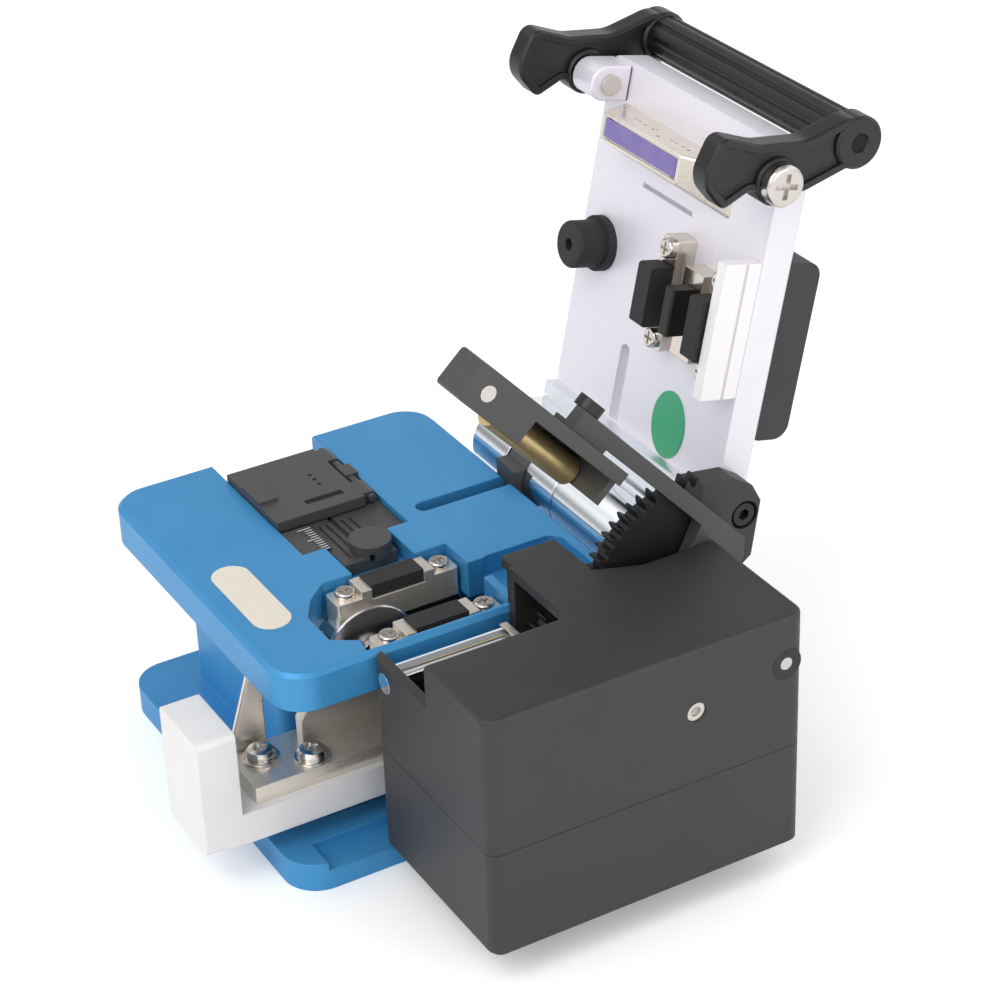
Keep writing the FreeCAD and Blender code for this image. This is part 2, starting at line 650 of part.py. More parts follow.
def holder_lid():
    """Flap over the left half of the holder, hinged along its rear edge."""
    y0 = CHANNEL_Y0 + HOLDER_FIT
    y1 = CHANNEL_Y1 - HOLDER_FIT
    z1 = HOLDER_TOP_Z
    z0 = z1 - HOLDER_LID_T
    flap = block(HOLDER_X0, HOLDER_X0 + HOLDER_LID_L, y0, y1 - HOLDER_REAR_T - HOLDER_LID_GAP, z0, z1)
    pin_y = y1 - HOLDER_PIN_IN
    mid = z0 + HOLDER_LID_T / 2
    ears = []
    for start in (HOLDER_X0 + EAR_IN, HOLDER_X0 + HOLDER_LID_L - EAR_IN - EAR_L):
        ears.append(rod("x", (start, pin_y, mid), HOLDER_LID_T / 2, EAR_L))
        ears.append(block(start, start + EAR_L, y1 - HOLDER_REAR_T - 2 * HOLDER_LID_GAP, pin_y, z0, z1))
    tab = block(HOLDER_X0 + HOLDER_LID_L * TAB_FROM, HOLDER_X0 + HOLDER_LID_L * TAB_TO,
                y0, y0 + TAB_W, z1, z1 + TAB_T)
    pin = rod("x", (HOLDER_X0, pin_y, mid), HOLDER_PIN_R + RUN_FIT, HOLDER_LID_L)
    slot = block(HOLDER_X0 + HOLDER_LID_L * FLAP_SLOT_FROM, HOLDER_X0 + HOLDER_LID_L * FLAP_SLOT_TO,
                 FIBRE_Y - 3, FIBRE_Y + 5, z1 - FLAP_SLOT_D, z1 + OVERCUT)
    dots = [rod("z", (HOLDER_X0 + HOLDER_LID_L / 2 + k * DOT_PITCH, FIBRE_Y + 2.5, z1 - DOT_D),
                DOT_R, DOT_D + OVERCUT) for k in (-1, 0, 1)]
    return join(flap, tab, *ears).cut([pin, slot] + dots)


def holder_pin():
    """Pin of the holder flap, with the two end ears that carry it."""
    y1 = CHANNEL_Y1 - HOLDER_FIT
    z = HOLDER_TOP_Z - HOLDER_LID_T / 2
    pin = rod("x", (HOLDER_X0, y1 - HOLDER_PIN_IN, z), HOLDER_PIN_R, HOLDER_LID_L)
    middle = HOLDER_X0 + HOLDER_LID_L / 2
    stand = block(middle - 2, middle + 2, y1 - HOLDER_REAR_T + SIDE_GAP, y1,
                  HOLDER_TOP_Z - HOLDER_LID_T - HOLDER_LID_GAP, HOLDER_TOP_Z)
    return join(pin, stand)


def ruler_plate():
    """Graduated strip on the front of the holder; the marks are shallow cuts."""
    x0 = HOLDER_X0 + HOLDER_LID_L + 1.2
    z0 = CHANNEL_Z + HOLDER_BASE_T
    y0 = CHANNEL_Y0 + HOLDER_FIT
    strip = block(x0, HOLDER_X0 + HOLDER_L - 0.5, y0, y0 + RULER_W, z0, z0 + RULER_T)
    marks = [block(x0 + 1 + k, x0 + 1 + k + RULER_MARK_W, CHANNEL_Y0 + RULER_W * 0.6, y0 + RULER_W + 0.1,
                   z0 + RULER_T - RULER_MARK_D, z0 + RULER_T + OVERCUT) for k in range(RULER_MARKS)]
    return strip.cut(marks)


# ---- blade slide ---------------------------------------------------------------------------
def slide_rail():
    """Guide rail screwed to the foot."""
    x = (SLIDER_X0 + SLIDER_X1) / 2
    top = SLIDER_Z0 + RAIL_RISE
    stem = block(x - RAIL_HALF_W + RAIL_LIP, x + RAIL_HALF_W - RAIL_LIP, RAIL_Y0, RAIL_Y1, FOOT_T, top)
    head = block(x - RAIL_HALF_W, x + RAIL_HALF_W, RAIL_Y0, RAIL_Y1, top - RAIL_HEAD_T, top)
    return join(stem, head)


def slider_block():
    """Push block: thick front wall and a floor that rides the guide rail."""
    x = (SLIDER_X0 + SLIDER_X1) / 2
    z1 = SLIDER_Z0 + SLIDER_FLOOR
    wall = soften(block(SLIDER_X0, SLIDER_X1, SLIDER_Y0, SLIDER_Y0 + SLIDER_WALL, SLIDER_Z0, SLIDER_Z1),
                  SLIDER_R, "y")
    floor = block(SLIDER_X0, SLIDER_X1, SLIDER_Y0 + SLIDER_WALL / 2, SLIDER_Y1, SLIDER_Z0, z1)
    lead = SLIDER_Y0 + SLIDER_WALL
    top = SLIDER_Z0 + RAIL_RISE + SLIDE_GAP
    way = block(x - RAIL_HALF_W - SLIDE_GAP, x + RAIL_HALF_W + SLIDE_GAP, lead, SLIDER_Y1 + 1,
                top - RAIL_HEAD_T - 2 * SLIDE_GAP, top)
    neck = block(x - RAIL_HALF_W + RAIL_LIP - SLIDE_GAP, x + RAIL_HALF_W - RAIL_LIP + SLIDE_GAP, lead,
                 SLIDER_Y1 + 1, SLIDER_Z0 - 1, top)
    holes = [rod("z", (spot[0], spot[1], z1 - 5), M2_5_SHANK_R, 6) for spot in carrier_spots()]
    return join(wall, floor).cut([way, neck] + holes)


def carrier_spots():
    """Screw places of the blade carrier."""
    x = (SLIDER_X0 + CARRIER_X1) / 2
    return [(x - 1.0, CARRIER_Y0 + 5.0), (x + 4.0, CARRIER_Y0 + 13.0)]


def blade_carrier():
    """Plated angle on the slider that holds the blade on its upright wall."""
    z0 = SLIDER_Z0 + SLIDER_FLOOR
    foot = block(SLIDER_X0 + 1.5, CARRIER_X1, CARRIER_Y0, SLIDER_Y1 - 1, z0, z0 + CARRIER_T)
    x0 = CARRIER_WALL_X0
    upright = plate([(CARRIER_Y0 + 13, z0), (SLIDER_Y1 - 1, z0), (SLIDER_Y1 - 1, z0 + 9),
                     (BLADE_Y + 4.5, BLADE_Z + 3.2), (BLADE_Y - 4.5, BLADE_Z + 3.2),
                     (CARRIER_Y0 + 13, z0 + 9)], x0, x0 + CARRIER_WALL_T)
    hub = rod("x", (x0, BLADE_Y, BLADE_Z), BLADE_HUB_R,
              ANVIL_X - BLADE_T / 2 - x0 - BLADE_SEAT_GAP)
    bore = rod("x", (x0 - 1, BLADE_Y, BLADE_Z), BLADE_BORE_R, 12)
    holes = [rod("z", (x, y, z0 - 1), M2_5_SHANK_R, CARRIER_T + 2) for x, y in carrier_spots()]
    return join(foot, upright, hub).cut([bore] + holes)


def carrier_screws():
    """Socket of two screws with washers that hold the carrier."""
    z = SLIDER_Z0 + SLIDER_FLOOR + CARRIER_T
    solids = []
    for x, y in carrier_spots():
        screw = pan_screw(x, y, z + WASHER_T, M3_HEAD_R, M3_HEAD_H, M2_5_SHANK_R,
                          CARRIER_T + WASHER_T + 3)
        solids.append(join(screw, rod("z", (x, y, z), WASHER_R, WASHER_T)))
    return solids


def blade():
    """Round cleaving blade with a bevelled rim."""
    x0 = ANVIL_X - BLADE_T / 2
    disc = rod("x", (x0, BLADE_Y, BLADE_Z), BLADE_R, BLADE_T)
    disc = disc.makeChamfer(BLADE_T * 0.4, disc.Edges)
    return disc.cut(rod("x", (x0 - 1, BLADE_Y, BLADE_Z), BLADE_BORE_R + RUN_FIT, BLADE_T + 2))


def blade_screw():
    """Screw that holds the blade to the carrier hub."""
    x1 = ANVIL_X + BLADE_T / 2 + BLADE_SEAT_GAP
    shank = rod("x", (CARRIER_WALL_X0 - 0.5, BLADE_Y, BLADE_Z), BLADE_BORE_R, x1 - CARRIER_WALL_X0 + 0.5)
    head = rod("x", (x1, BLADE_Y, BLADE_Z), BLADE_CLAMP_R, BLADE_CLAMP_T)
    slit = block(x1 + BLADE_CLAMP_T - 0.5, x1 + BLADE_CLAMP_T + OVERCUT,
                 BLADE_Y - BLADE_CLAMP_R, BLADE_Y + BLADE_CLAMP_R,
                 BLADE_Z - BLADE_CLAMP_SLIT / 2, BLADE_Z + BLADE_CLAMP_SLIT / 2)
    return join(shank, head).cut(slit)


# ---- scrap bin -----------------------------------------------------------------------------
def bin_lower():
    """Tray half of the bin."""
    outer = soften(block(BIN_X0, BIN_X1, BIN_Y0, BIN_Y1, BIN_Z0, BIN_SEAM_Z), BIN_R, "z")
    low = [e for e in outer.Edges if abs(e.BoundBox.ZMax - BIN_Z0) < 1e-6]
    outer = outer.makeChamfer(EDGE_BREAK, low)
    inner = block(BIN_X0 + BIN_WALL, BIN_X1 - BIN_WALL, BIN_Y0 + BIN_WALL, BIN_Y1 - BIN_WALL,
                  BIN_Z0 + BIN_WALL, BIN_SEAM_Z + 1)
    return outer.cut(soften(inner, 1.0, "z"))


def bin_upper():
    """Hood half of the bin with the scrap window, the gear slot and the tongue beside the lid."""
    outer = soften(block(BIN_X0, BIN_X1, BIN_Y0, BIN_Y1, BIN_SEAM_Z, BIN_Z1), BIN_R, "z")
    rim = [e for e in outer.Edges if abs(e.BoundBox.ZMin - BIN_Z1) < 1e-6]
    outer = outer.makeFillet(EDGE_BREAK, rim)
    inner = block(BIN_X0 + BIN_WALL, BIN_X1 - BIN_WALL, BIN_Y0 + BIN_WALL, BIN_Y1 - BIN_WALL,
                  BIN_SEAM_Z - 1, BIN_Z1 - BIN_WALL)
    tongue = block(TONGUE_X0, BIN_X0 + 2, TONGUE_Y0, TONGUE_Y1, BIN_Z1 - BIN_WALL, BIN_Z1)
    window = block(BIN_X0 - 1, WINDOW_X1, BIN_Y0 - 1, WINDOW_Y1, LEDGE_Z, BIN_Z1 + 1)
    slot = slab([(BIN_X0 - 1, SLOT_Y0), (SLOT_X1 - 3.4, SLOT_Y0), (SLOT_X1, SLOT_Y1 + 6),
                 (SLOT_X1, BIN_Y1 + 1), (BIN_X0 - 1, BIN_Y1 + 1)], SLOT_Z0, BIN_Z1 + 1)
    shell = join(outer.cut(inner), tongue).cut([soften(window, 2.0, "z"), slot])
    mouth = block(BIN_X0 - 1, BIN_X0 + BIN_WALL + 0.1, BIN_Y0 + BIN_WALL, WINDOW_Y1, MOUTH_Z, LEDGE_Z + 1)
    holes = [mouth, rod("x", (SLOT_X1 - 1, HINGE_Y, HINGE_Z), HINGE_ROD_R, BIN_X1 - SLOT_X1 + 2),
             rod("x", (BIN_X1 - BIN_WALL - 1, BIN_SCREW[0], BIN_SCREW[1]), BIN_SCREW_R, BIN_WALL + 2),
             rod("y", (ROLLER_X, BIN_Y0 - 1, ROLLER_Z), ROLLER_PIN_R + RUN_FIT, BIN_WALL + 2)]
    return shell.cut(holes)


def bin_screw():
    """Bright screw end in the bin's outer wall."""
    stem = rod("x", (BIN_X1 - BIN_WALL - 1.5, BIN_SCREW[0], BIN_SCREW[1]), BIN_SCREW_R, BIN_WALL + 1.2)
    socket = rod("x", (BIN_X1 - 1.3, BIN_SCREW[0], BIN_SCREW[1]), BIN_SCREW_R * 0.5, 2)
    return stem.cut(socket)


def bearing_plate():
    """Inner wall that carries the rear end of the scrap roller and one end of the cross shaft."""
    y0 = ROLLER_Y1 + SIDE_GAP
    top = ROLLER_Z + BEARING_RISE
    wall = block(BIN_X0 + BIN_WALL, BIN_X0 + BIN_WALL + 11, y0, y0 + BEARING_T, BIN_SEAM_Z, top)
    side = block(SECTOR_X0 + SECTOR_W + 1.2, BIN_X0 + BIN_WALL + 11, y0, SHAFT_Y + 4, BIN_SEAM_Z, top)
    bore = rod("y", (ROLLER_X, y0 - 1, ROLLER_Z), ROLLER_TAIL_R + RUN_FIT, BEARING_T + 2)
    shaft = rod("x", (SECTOR_X0 + SECTOR_W, SHAFT_Y, SHAFT_Z), SHAFT_R + RUN_FIT, 8)
    return join(wall, side).cut([bore, shaft])


def scrap_roller():
    """Lower scrap roller with stepped ends and the bevel wheel on its rear end."""
    barrel = rod("y", (ROLLER_X, ROLLER_Y0, ROLLER_Z), ROLLER_R, ROLLER_Y1 - ROLLER_Y0)
    front = rod("y", (ROLLER_X, BIN_Y0, ROLLER_Z), ROLLER_PIN_R, ROLLER_Y0 - BIN_Y0 + 0.5)
    tail = rod("y", (ROLLER_X, ROLLER_Y1 - 0.5, ROLLER_Z), ROLLER_TAIL_R,
               SHAFT_Y - BEVEL_R - ROLLER_Y1 + 0.5)
    wheel = Part.makeCone(BEVEL_R, BEVEL_T, BEVEL_R - BEVEL_T,
                          V(ROLLER_X, SHAFT_Y - BEVEL_R - BEVEL_GAP, ROLLER_Z), V(0, 1, 0))
    return join(barrel, front, tail, wheel)


def pinion():
    """Drive pinion, cross shaft and the bevel cone that turns the scrap roller."""
    x0 = SECTOR_X0
    start = mesh_angle()
    angles = [start + 2 * math.pi * k / PINION_TEETH for k in range(PINION_TEETH)]
    disc, teeth = gear(PITCH_P, PINION_TEETH, (SHAFT_Y, SHAFT_Z), angles, x0 + 0.4, x0 + SECTOR_W)
    shaft = rod("x", (x0 + 0.4, SHAFT_Y, SHAFT_Z), SHAFT_R, BIN_X0 + BIN_WALL + 11.5 - x0)
    cone_x = ROLLER_X + BEVEL_R + BEVEL_GAP
    cone = Part.makeCone(BEVEL_R, BEVEL_T, BEVEL_R - BEVEL_T, V(cone_x, SHAFT_Y, SHAFT_Z), V(-1, 0, 0))
    return join(disc, cone, shaft, *teeth)


def mesh_angle():
    """Pinion tooth angle that puts a pinion gap on the sector's tooth across the centre line."""
    line = math.atan2(SHAFT_Z - HINGE_Z, SHAFT_Y - HINGE_Y)
    step = 2 * math.pi / SECTOR_TEETH
    first = math.radians(SECTOR_FROM)
    offset = (line - first) / step
    lag = (offset - math.floor(offset)) * step
    return line + math.pi + lag * SECTOR_TEETH / PINION_TEETH + math.pi / PINION_TEETH


def sector_gear():
    """Toothed sector that turns with the lid; drawn in the open attitude."""
    step = 2 * math.pi / SECTOR_TEETH
    count = int((math.radians(SECTOR_TO) - math.radians(SECTOR_FROM)) / step)
    angles = [math.radians(SECTOR_FROM) + step * k for k in range(count + 1)]
    disc, teeth = gear(PITCH_S, SECTOR_TEETH, (HINGE_Y, HINGE_Z), angles, SECTOR_X0, SECTOR_X0 + SECTOR_W)
    edge = [math.radians(SECTOR_FROM - 4), math.radians(SECTOR_TO + 3)]
    reach = PITCH_S * 1.6
    wedge = [(HINGE_Y, HINGE_Z)]
    for k in range(5):
        turn = edge[0] + (edge[1] - edge[0]) * k / 4
        wedge.append((HINGE_Y + reach * math.cos(turn), HINGE_Z + reach * math.sin(turn)))
    rim = disc.common(plate(wedge, SECTOR_X0, SECTOR_X0 + SECTOR_W))
    hub = rod("x", (SECTOR_X0, HINGE_Y, HINGE_Z), BARREL_R, SECTOR_W)
    bore = rod("x", (SECTOR_X0 - 1, HINGE_Y, HINGE_Z), HINGE_ROD_R + RUN_FIT, SECTOR_W + 2)
    return join(rim, hub, *teeth).cut(bore)


# ---- lid -----------------------------------------------------------------------------------
def lid_plate():
    """Thick lid plate with its slot and slit."""
    body = block(LID_X0, LID_X1, out(LID_FAR), out(LID_NEAR), LID_LOW_Z, LID_TOP_Z)
    body = soften(body, LID_CORNER_R, "z")
    top = [e for e in body.Edges if abs(e.BoundBox.ZMin - LID_TOP_Z) < 1e-6]
    body = body.makeChamfer(EDGE_BREAK, top)
    slot = block(LID_SLOT_X - LID_SLOT_W / 2, LID_SLOT_X + LID_SLOT_W / 2, out(LID_SLOT_OUT1),
                 out(LID_SLOT_OUT0), LID_LOW_Z - 1, LID_LOW_Z + 2.0)
    ends = rod("z", (LID_SLOT_X, out(LID_SLOT_OUT1), LID_LOW_Z - 1), LID_SLOT_W / 2, 3.0)
    slit_y = out(LID_SLIT_OUT)
    slit = block(LID_SLIT_X0, LID_SLIT_X1, slit_y - LID_SLIT_W / 2, slit_y + LID_SLIT_W / 2,
                 LID_LOW_Z - OVERCUT, LID_LOW_Z + LID_SLIT_D)
    bolt = rod("x", (LID_X1 - 8, out(LINK_BOLT[0]), up(LINK_BOLT[1])), LINK_SHANK_R, 8 + OVERCUT)
    return body.cut([slot, ends, slit, bolt])


def lid_barrel():
    """Polished hinge barrel in two lengths with the flange that carries the lid."""
    spans = [(BARREL_X0, LUG_X0 - SIDE_GAP), (LUG_X1 + SIDE_GAP, BARREL_X1)]
    pieces = [block(BARREL_X0, BARREL_X1, out(FLANGE_FAR), HINGE_Y, LID_LOW_Z - FLANGE_T, LID_LOW_Z)]
    for x0, x1 in spans:
        pieces.append(rod("x", (x0, HINGE_Y, HINGE_Z), BARREL_R, x1 - x0))
        pieces.append(block(x0, x1, out(8.0), HINGE_Y, up(4.5), LID_LOW_Z))
    bore = rod("x", (BARREL_X0 - 1, HINGE_Y, HINGE_Z), HINGE_ROD_R + RUN_FIT, BARREL_X1 - BARREL_X0 + 2)
    ring = rod("x", (GROOVE_X0, HINGE_Y, HINGE_Z), BARREL_R + 1, GROOVE_X1 - GROOVE_X0)
    ring = ring.cut(rod("x", (GROOVE_X0, HINGE_Y, HINGE_Z), BARREL_R - GROOVE_DEPTH, GROOVE_X1 - GROOVE_X0))
    ring = ring.common(block(GROOVE_X0, GROOVE_X1, HINGE_Y - 20, HINGE_Y + 20, HINGE_Z - 20, up(4.0)))
    return join(*pieces).cut([bore, ring])


def side_link():
    """Black link from the hinge shaft to the lid's right edge."""
    outline = [(-6.2, -3.2), (-2.5, -6.5), (3.0, -6.3), (17.6, 0.4), (18.3, 9.2), (16.6, 13.6),
               (13.4, 16.2), (2.2, 16.6), (-3.0, 12.0)]
    points = [(out(away), up(high)) for away, high in outline]
    web = plate(points, LINK_X0, LINK_X0 + LINK_T)
    pad = plate([(out(9), LID_LOW_Z + 0.3), (out(16), LID_LOW_Z + 0.3), (out(14), up(16.0)),
                 (out(9), up(16.2))], LID_X1, LINK_X0)
    boss = rod("x", (LINK_X0, HINGE_Y, HINGE_Z), BARREL_R, LINK_T)
    bolt_y = out(LINK_BOLT[0])
    bolt_z = up(LINK_BOLT[1])
    cuts = [rod("x", (LINK_X0 - 1, HINGE_Y, HINGE_Z), HINGE_ROD_R + RUN_FIT, LINK_T + 2),
            rod("x", (LID_X1 - OVERCUT, bolt_y, bolt_z), LINK_SHANK_R, LINK_T + 3 * OVERCUT),
            rod("x", (LINK_X0 + LINK_T - LINK_SINK_D, bolt_y, bolt_z), LINK_SINK_R,
                LINK_SINK_D + OVERCUT)]
    return join(web, boss, pad).cut(cuts)


def link_bolt():
    """Socket bolt of the side link."""
    y = out(LINK_BOLT[0])
    z = up(LINK_BOLT[1])
    seat = LINK_X0 + LINK_T - LINK_SINK_D
    head = rod("x", (seat, y, z), LINK_BOLT_R, LINK_SINK_D - 0.2)
    shank = rod("x", (LID_X1 - 7, y, z), LINK_SHANK_R, seat - LID_X1 + 7)
    turns = [math.radians(60 * k) for k in range(6)]
    corners = [(y + LINK_HEX_R * math.cos(t), z + LINK_HEX_R * math.sin(t)) for t in turns]
    socket_x = seat + LINK_SINK_D - SIDE_GAP + 0.1 - LINK_HEX_D
    return join(head, shank).cut(plate(corners, socket_x, seat + LINK_SINK_D + OVERCUT))


def upper_holder(x, half_w):
    """Plated block under the lid that holds an upper pad."""
    z1 = LID_LOW_Z
    z0 = z1 - UPPER_BODY_T
    bar = block(x - half_w, x + half_w, FIBRE_Y - UPPER_HALF_Y, FIBRE_Y + UPPER_HALF_Y, z0, z1)
    bar = soften(bar, UPPER_CORNER_R, "z")
    holes = [rod("z", (x, FIBRE_Y + side * (UPPER_HALF_Y - UPPER_SCREW_IN), z0 - OVERCUT), M2_SHANK_R,
                 UPPER_BODY_T + 2 * OVERCUT) for side in (-1, 1)]
    return bar.cut(holes)


def upper_pad(x, half_w):
    """Rubber pad that presses the fibre."""
    z0 = CLAMP_TOP_Z + PAD_PROUD + UPPER_PAD_GAP
    pad = block(x - half_w, x + half_w, FIBRE_Y - UPPER_PAD_HALF_Y, FIBRE_Y + UPPER_PAD_HALF_Y,
                z0, LID_LOW_Z - UPPER_BODY_T)
    return soften(pad, UPPER_PAD_R, "x")


def upper_screws():
    """Cross-head screws of the upper clamp blocks, heads towards the fibre."""
    z = LID_LOW_Z - UPPER_BODY_T
    y_off = UPPER_HALF_Y - UPPER_SCREW_IN
    spots = [(x, FIBRE_Y + side * y_off) for x in (CLAMP_L_X, CLAMP_R_X) for side in (-1, 1)]
    return [pan_screw(x, y, z, M2_HEAD_R, M2_HEAD_H, M2_SHANK_R, UPPER_BODY_T, way=-1) for x, y in spots]


def anvil_guide():
    """Guide block of the breaking anvil, fixed under the lid."""
    z1 = LID_LOW_Z
    half = ANVIL_W / 2 + 1.6
    bar = block(ANVIL_X - half, ANVIL_X + half, FIBRE_Y - 7.5, FIBRE_Y + 9.5, z1 - UPPER_BODY_T, z1)
    well = block(ANVIL_X - ANVIL_W / 2 - 0.1, ANVIL_X + ANVIL_W / 2 + 0.1, FIBRE_Y - 4.6, FIBRE_Y + 4.6,
                 z1 - UPPER_BODY_T - 1, z1 + 1)
    return bar.cut(well)


def anvil():
    """Breaking anvil that gives a little against its spring."""
    z0 = CLAMP_TOP_Z + PAD_PROUD + UPPER_PAD_GAP
    z1 = LID_LOW_Z - ANVIL_TRAVEL - 0.4
    body = block(ANVIL_X - ANVIL_W / 2, ANVIL_X + ANVIL_W / 2, FIBRE_Y - 4.5, FIBRE_Y + 4.5, z0, z1)
    return soften(body, 0.5, "y")


def guide_rail_block():
    """Pale grooved block along the right edge of the lid's inner face."""
    y0 = FIBRE_Y - RAIL_HALF_Y
    y1 = TONGUE_Y0 - SIDE_GAP
    x0 = CLAMP_R_X + CLAMP_W / 2
    x1 = LID_X1 - RAIL_IN
    bar = block(x0, x1, y0, y1, LID_LOW_Z - RAIL_T, LID_LOW_Z)
    groove = block(x1 - RAIL_GROOVE_D, x1 + OVERCUT, y0 - OVERCUT, y1 + OVERCUT,
                   LID_LOW_Z - RAIL_GROOVE_DOWN - RAIL_GROOVE_W, LID_LOW_Z - RAIL_GROOVE_DOWN)
    return bar.cut(groove)


def stop_post():
    """Rubber post with a flange that presses on the fibre holder."""
    y = out(43.0)
    post = rod("z", (POST_X, y, LID_LOW_Z - POST_H), POST_R, POST_H)
    flange = rod("z", (POST_X, y, LID_LOW_Z - POST_FLANGE_T), POST_FLANGE_R, POST_FLANGE_T)
    whole = join(post, flange)
    low = [e for e in whole.Edges if abs(e.BoundBox.ZMax - (LID_LOW_Z - POST_H)) < 1e-6]
    return whole.makeFillet(0.8, low).cut(rod("z", (POST_X, y, LID_LOW_Z - POST_H - 1), POST_BORE_R, 4))


def round_label():
    """Oval foil disc on the inner face."""
    curve = Part.Ellipse(V(LABEL_X, out(LABEL_OUT), LID_LOW_Z), LABEL_RY, LABEL_RX)
    ring = curve.toShape()
    ring.rotate(V(LABEL_X, out(LABEL_OUT), LID_LOW_Z), V(0, 0, 1), 90)
    return Part.Face(Part.Wire([ring])).extrude(V(0, 0, -LABEL_T))


def keeper_block():
    """Plated block near the lid's free end."""
    z0 = LID_LOW_Z - KEEPER_H
    bar = plate([(out(KEEPER_OUT0), LID_LOW_Z), (out(KEEPER_OUT0) - 1.2, z0), (out(KEEPER_OUT1), z0),
                 (out(KEEPER_OUT1), LID_LOW_Z)], KEEPER_X0, KEEPER_X1)
    return bar


def keeper_inset():
    """Coloured strip on the block's face towards the hinge."""
    z = LID_LOW_Z - KEEPER_H / 2 - 0.4
    y = out(KEEPER_OUT0)
    lean = 1.2 / KEEPER_H
    top = z + INSET_H / 2
    low = z - INSET_H / 2
    points = [(y - (LID_LOW_Z - top) * lean, top), (y - (LID_LOW_Z - low) * lean, low),
              (y - (LID_LOW_Z - low) * lean + INSET_T, low), (y - (LID_LOW_Z - top) * lean + INSET_T, top)]
    return plate(points, INSET_X0, INSET_X1)


def back_pad():
    """Black block on the outer face of the lid."""
    far = out(BACK_PAD_OUT1)
    near = out(BACK_PAD_OUT0)
    pad = block(BACK_PAD_X0, BACK_PAD_X1, far, near, LID_TOP_Z, LID_TOP_Z + BACK_PAD_T)
    pad = soften(pad, BACK_PAD_R, "x")
    low = block(BACK_PAD_X0, BACK_PAD_X1, far + BACK_PAD_LIP, near - BACK_PAD_LIP,
                LID_TOP_Z, LID_TOP_Z + BACK_PAD_R)
    return join(pad, low)


def pivot_bar():
    """Square bar across the lid's free end that the handle turns on."""
    y = out(BAIL_OUT)
    z = up(BAIL_UP)
    bar = block(LID_X0 + 0.1, LID_X1 - 0.1, y - PIVOT_BAR_HALF, y + PIVOT_BAR_HALF,
                z - PIVOT_BAR_HALF, LID_LOW_Z)
    bore = rod("x", (LID_X0 - 1, y, z), PIVOT_PIN_R, LID_X1 - LID_X0 + 2)
    return soften(bar, EDGE_BREAK, "x").cut(bore)


# ---- handle --------------------------------------------------------------------------------
def bail_outline():
    """Side view of a handle arm about its pivot: hook, boss and the stem to the bar."""
    return [(-8.5, -13.6), (-7.6, -14.9), (0.4, -16.2), (5.1, -10.4), (2.9, -7.0), (1.3, -5.0),
            (3.6, -2.6), (4.0, 1.8), (2.2, 5.2), (1.4, 7.6), (-2.6, 14.4), (-3.2, 19.2),
            (-10.6, 18.4), (-11.2, 13.8), (-8.0, 6.0), (-6.2, 1.2), (-6.6, -5.0)]


def bail_frame():
    """Both handle arms and the grip bar, one moulding."""
    y = out(BAIL_OUT)
    z = up(BAIL_UP)
    points = [(y + a, z + b) for a, b in bail_outline()]
    left = LID_X0 - BAIL_SIDE - BAIL_ARM_T
    right = LID_X1 + BAIL_SIDE
    bar_y = y + BAIL_BAR[0]
    bar_z = z + BAIL_BAR[1]
    arms = []
    for x0 in (left, right):
        arms.append(plate(points, x0, x0 + BAIL_ARM_T))
        arms.append(rod("x", (x0, y, z), BAIL_BOSS_R, BAIL_ARM_T))
        arms.append(rod("x", (x0, bar_y, bar_z), BAIL_BAR_R + 0.3, BAIL_ARM_T))
    grip_r = BAIL_BAR_R - BAIL_BAR_STEP
    bar = rod("x", (left, bar_y, bar_z), grip_r, right + BAIL_ARM_T - left)
    start = left + BAIL_ARM_T + 1.0
    flutes = []
    for k in range(BAR_FLUTES):
        turn = 2 * math.pi * k / BAR_FLUTES
        place = (start, bar_y + grip_r * math.cos(turn), bar_z + grip_r * math.sin(turn))
        flutes.append(rod("x", place, BAR_FLUTE_R, right - 1.0 - start))
    far_end = right + BAIL_ARM_T - BAIL_BAR_BORE_D
    holes = [rod("x", (x0, bar_y, bar_z), BAIL_BAR_BORE_R, BAIL_BAR_BORE_D + OVERCUT)
             for x0 in (left - OVERCUT, far_end)]
    bores = [rod("x", (x0 - 1, y, z), PIVOT_PIN_R + RUN_FIT, BAIL_ARM_T + 2) for x0 in (left, right)]
    return join(*arms, bar).cut(flutes + holes + bores)


def pivot_screws():
    """Shoulder screws of the handle, one each side."""
    y = out(BAIL_OUT)
    z = up(BAIL_UP)
    solids = []
    for side in (-1, 1):
        edge = LID_X1 if side > 0 else LID_X0
        reach = BAIL_SIDE + BAIL_ARM_T + 0.2
        start = edge - 8.0 if side > 0 else edge - reach
        shank = rod("x", (start, y, z), PIVOT_PIN_R, reach + 8.0)
        face = edge + reach if side > 0 else edge - reach - M4_HEAD_H
        head = rod("x", (face, y, z), M4_HEAD_R, M4_HEAD_H)
        outer = face + M4_HEAD_H if side > 0 else face
        ring = [e for e in head.Edges if e.Curve.TypeId == "Part::GeomCircle"
                and abs(e.BoundBox.XMin - outer) < 1e-6]
        head = head.makeFillet(0.9, ring)
        deep = outer - 1.0 if side > 0 else outer
        arm = M4_HEAD_R * 0.6
        cross = [block(deep, deep + 1.0, y - arm, y + arm, z - 0.5, z + 0.5),
                 block(deep, deep + 1.0, y - 0.5, y + 0.5, z - arm, z + arm)]
        solids.append(join(shank, head).cut(cross))
    return solids


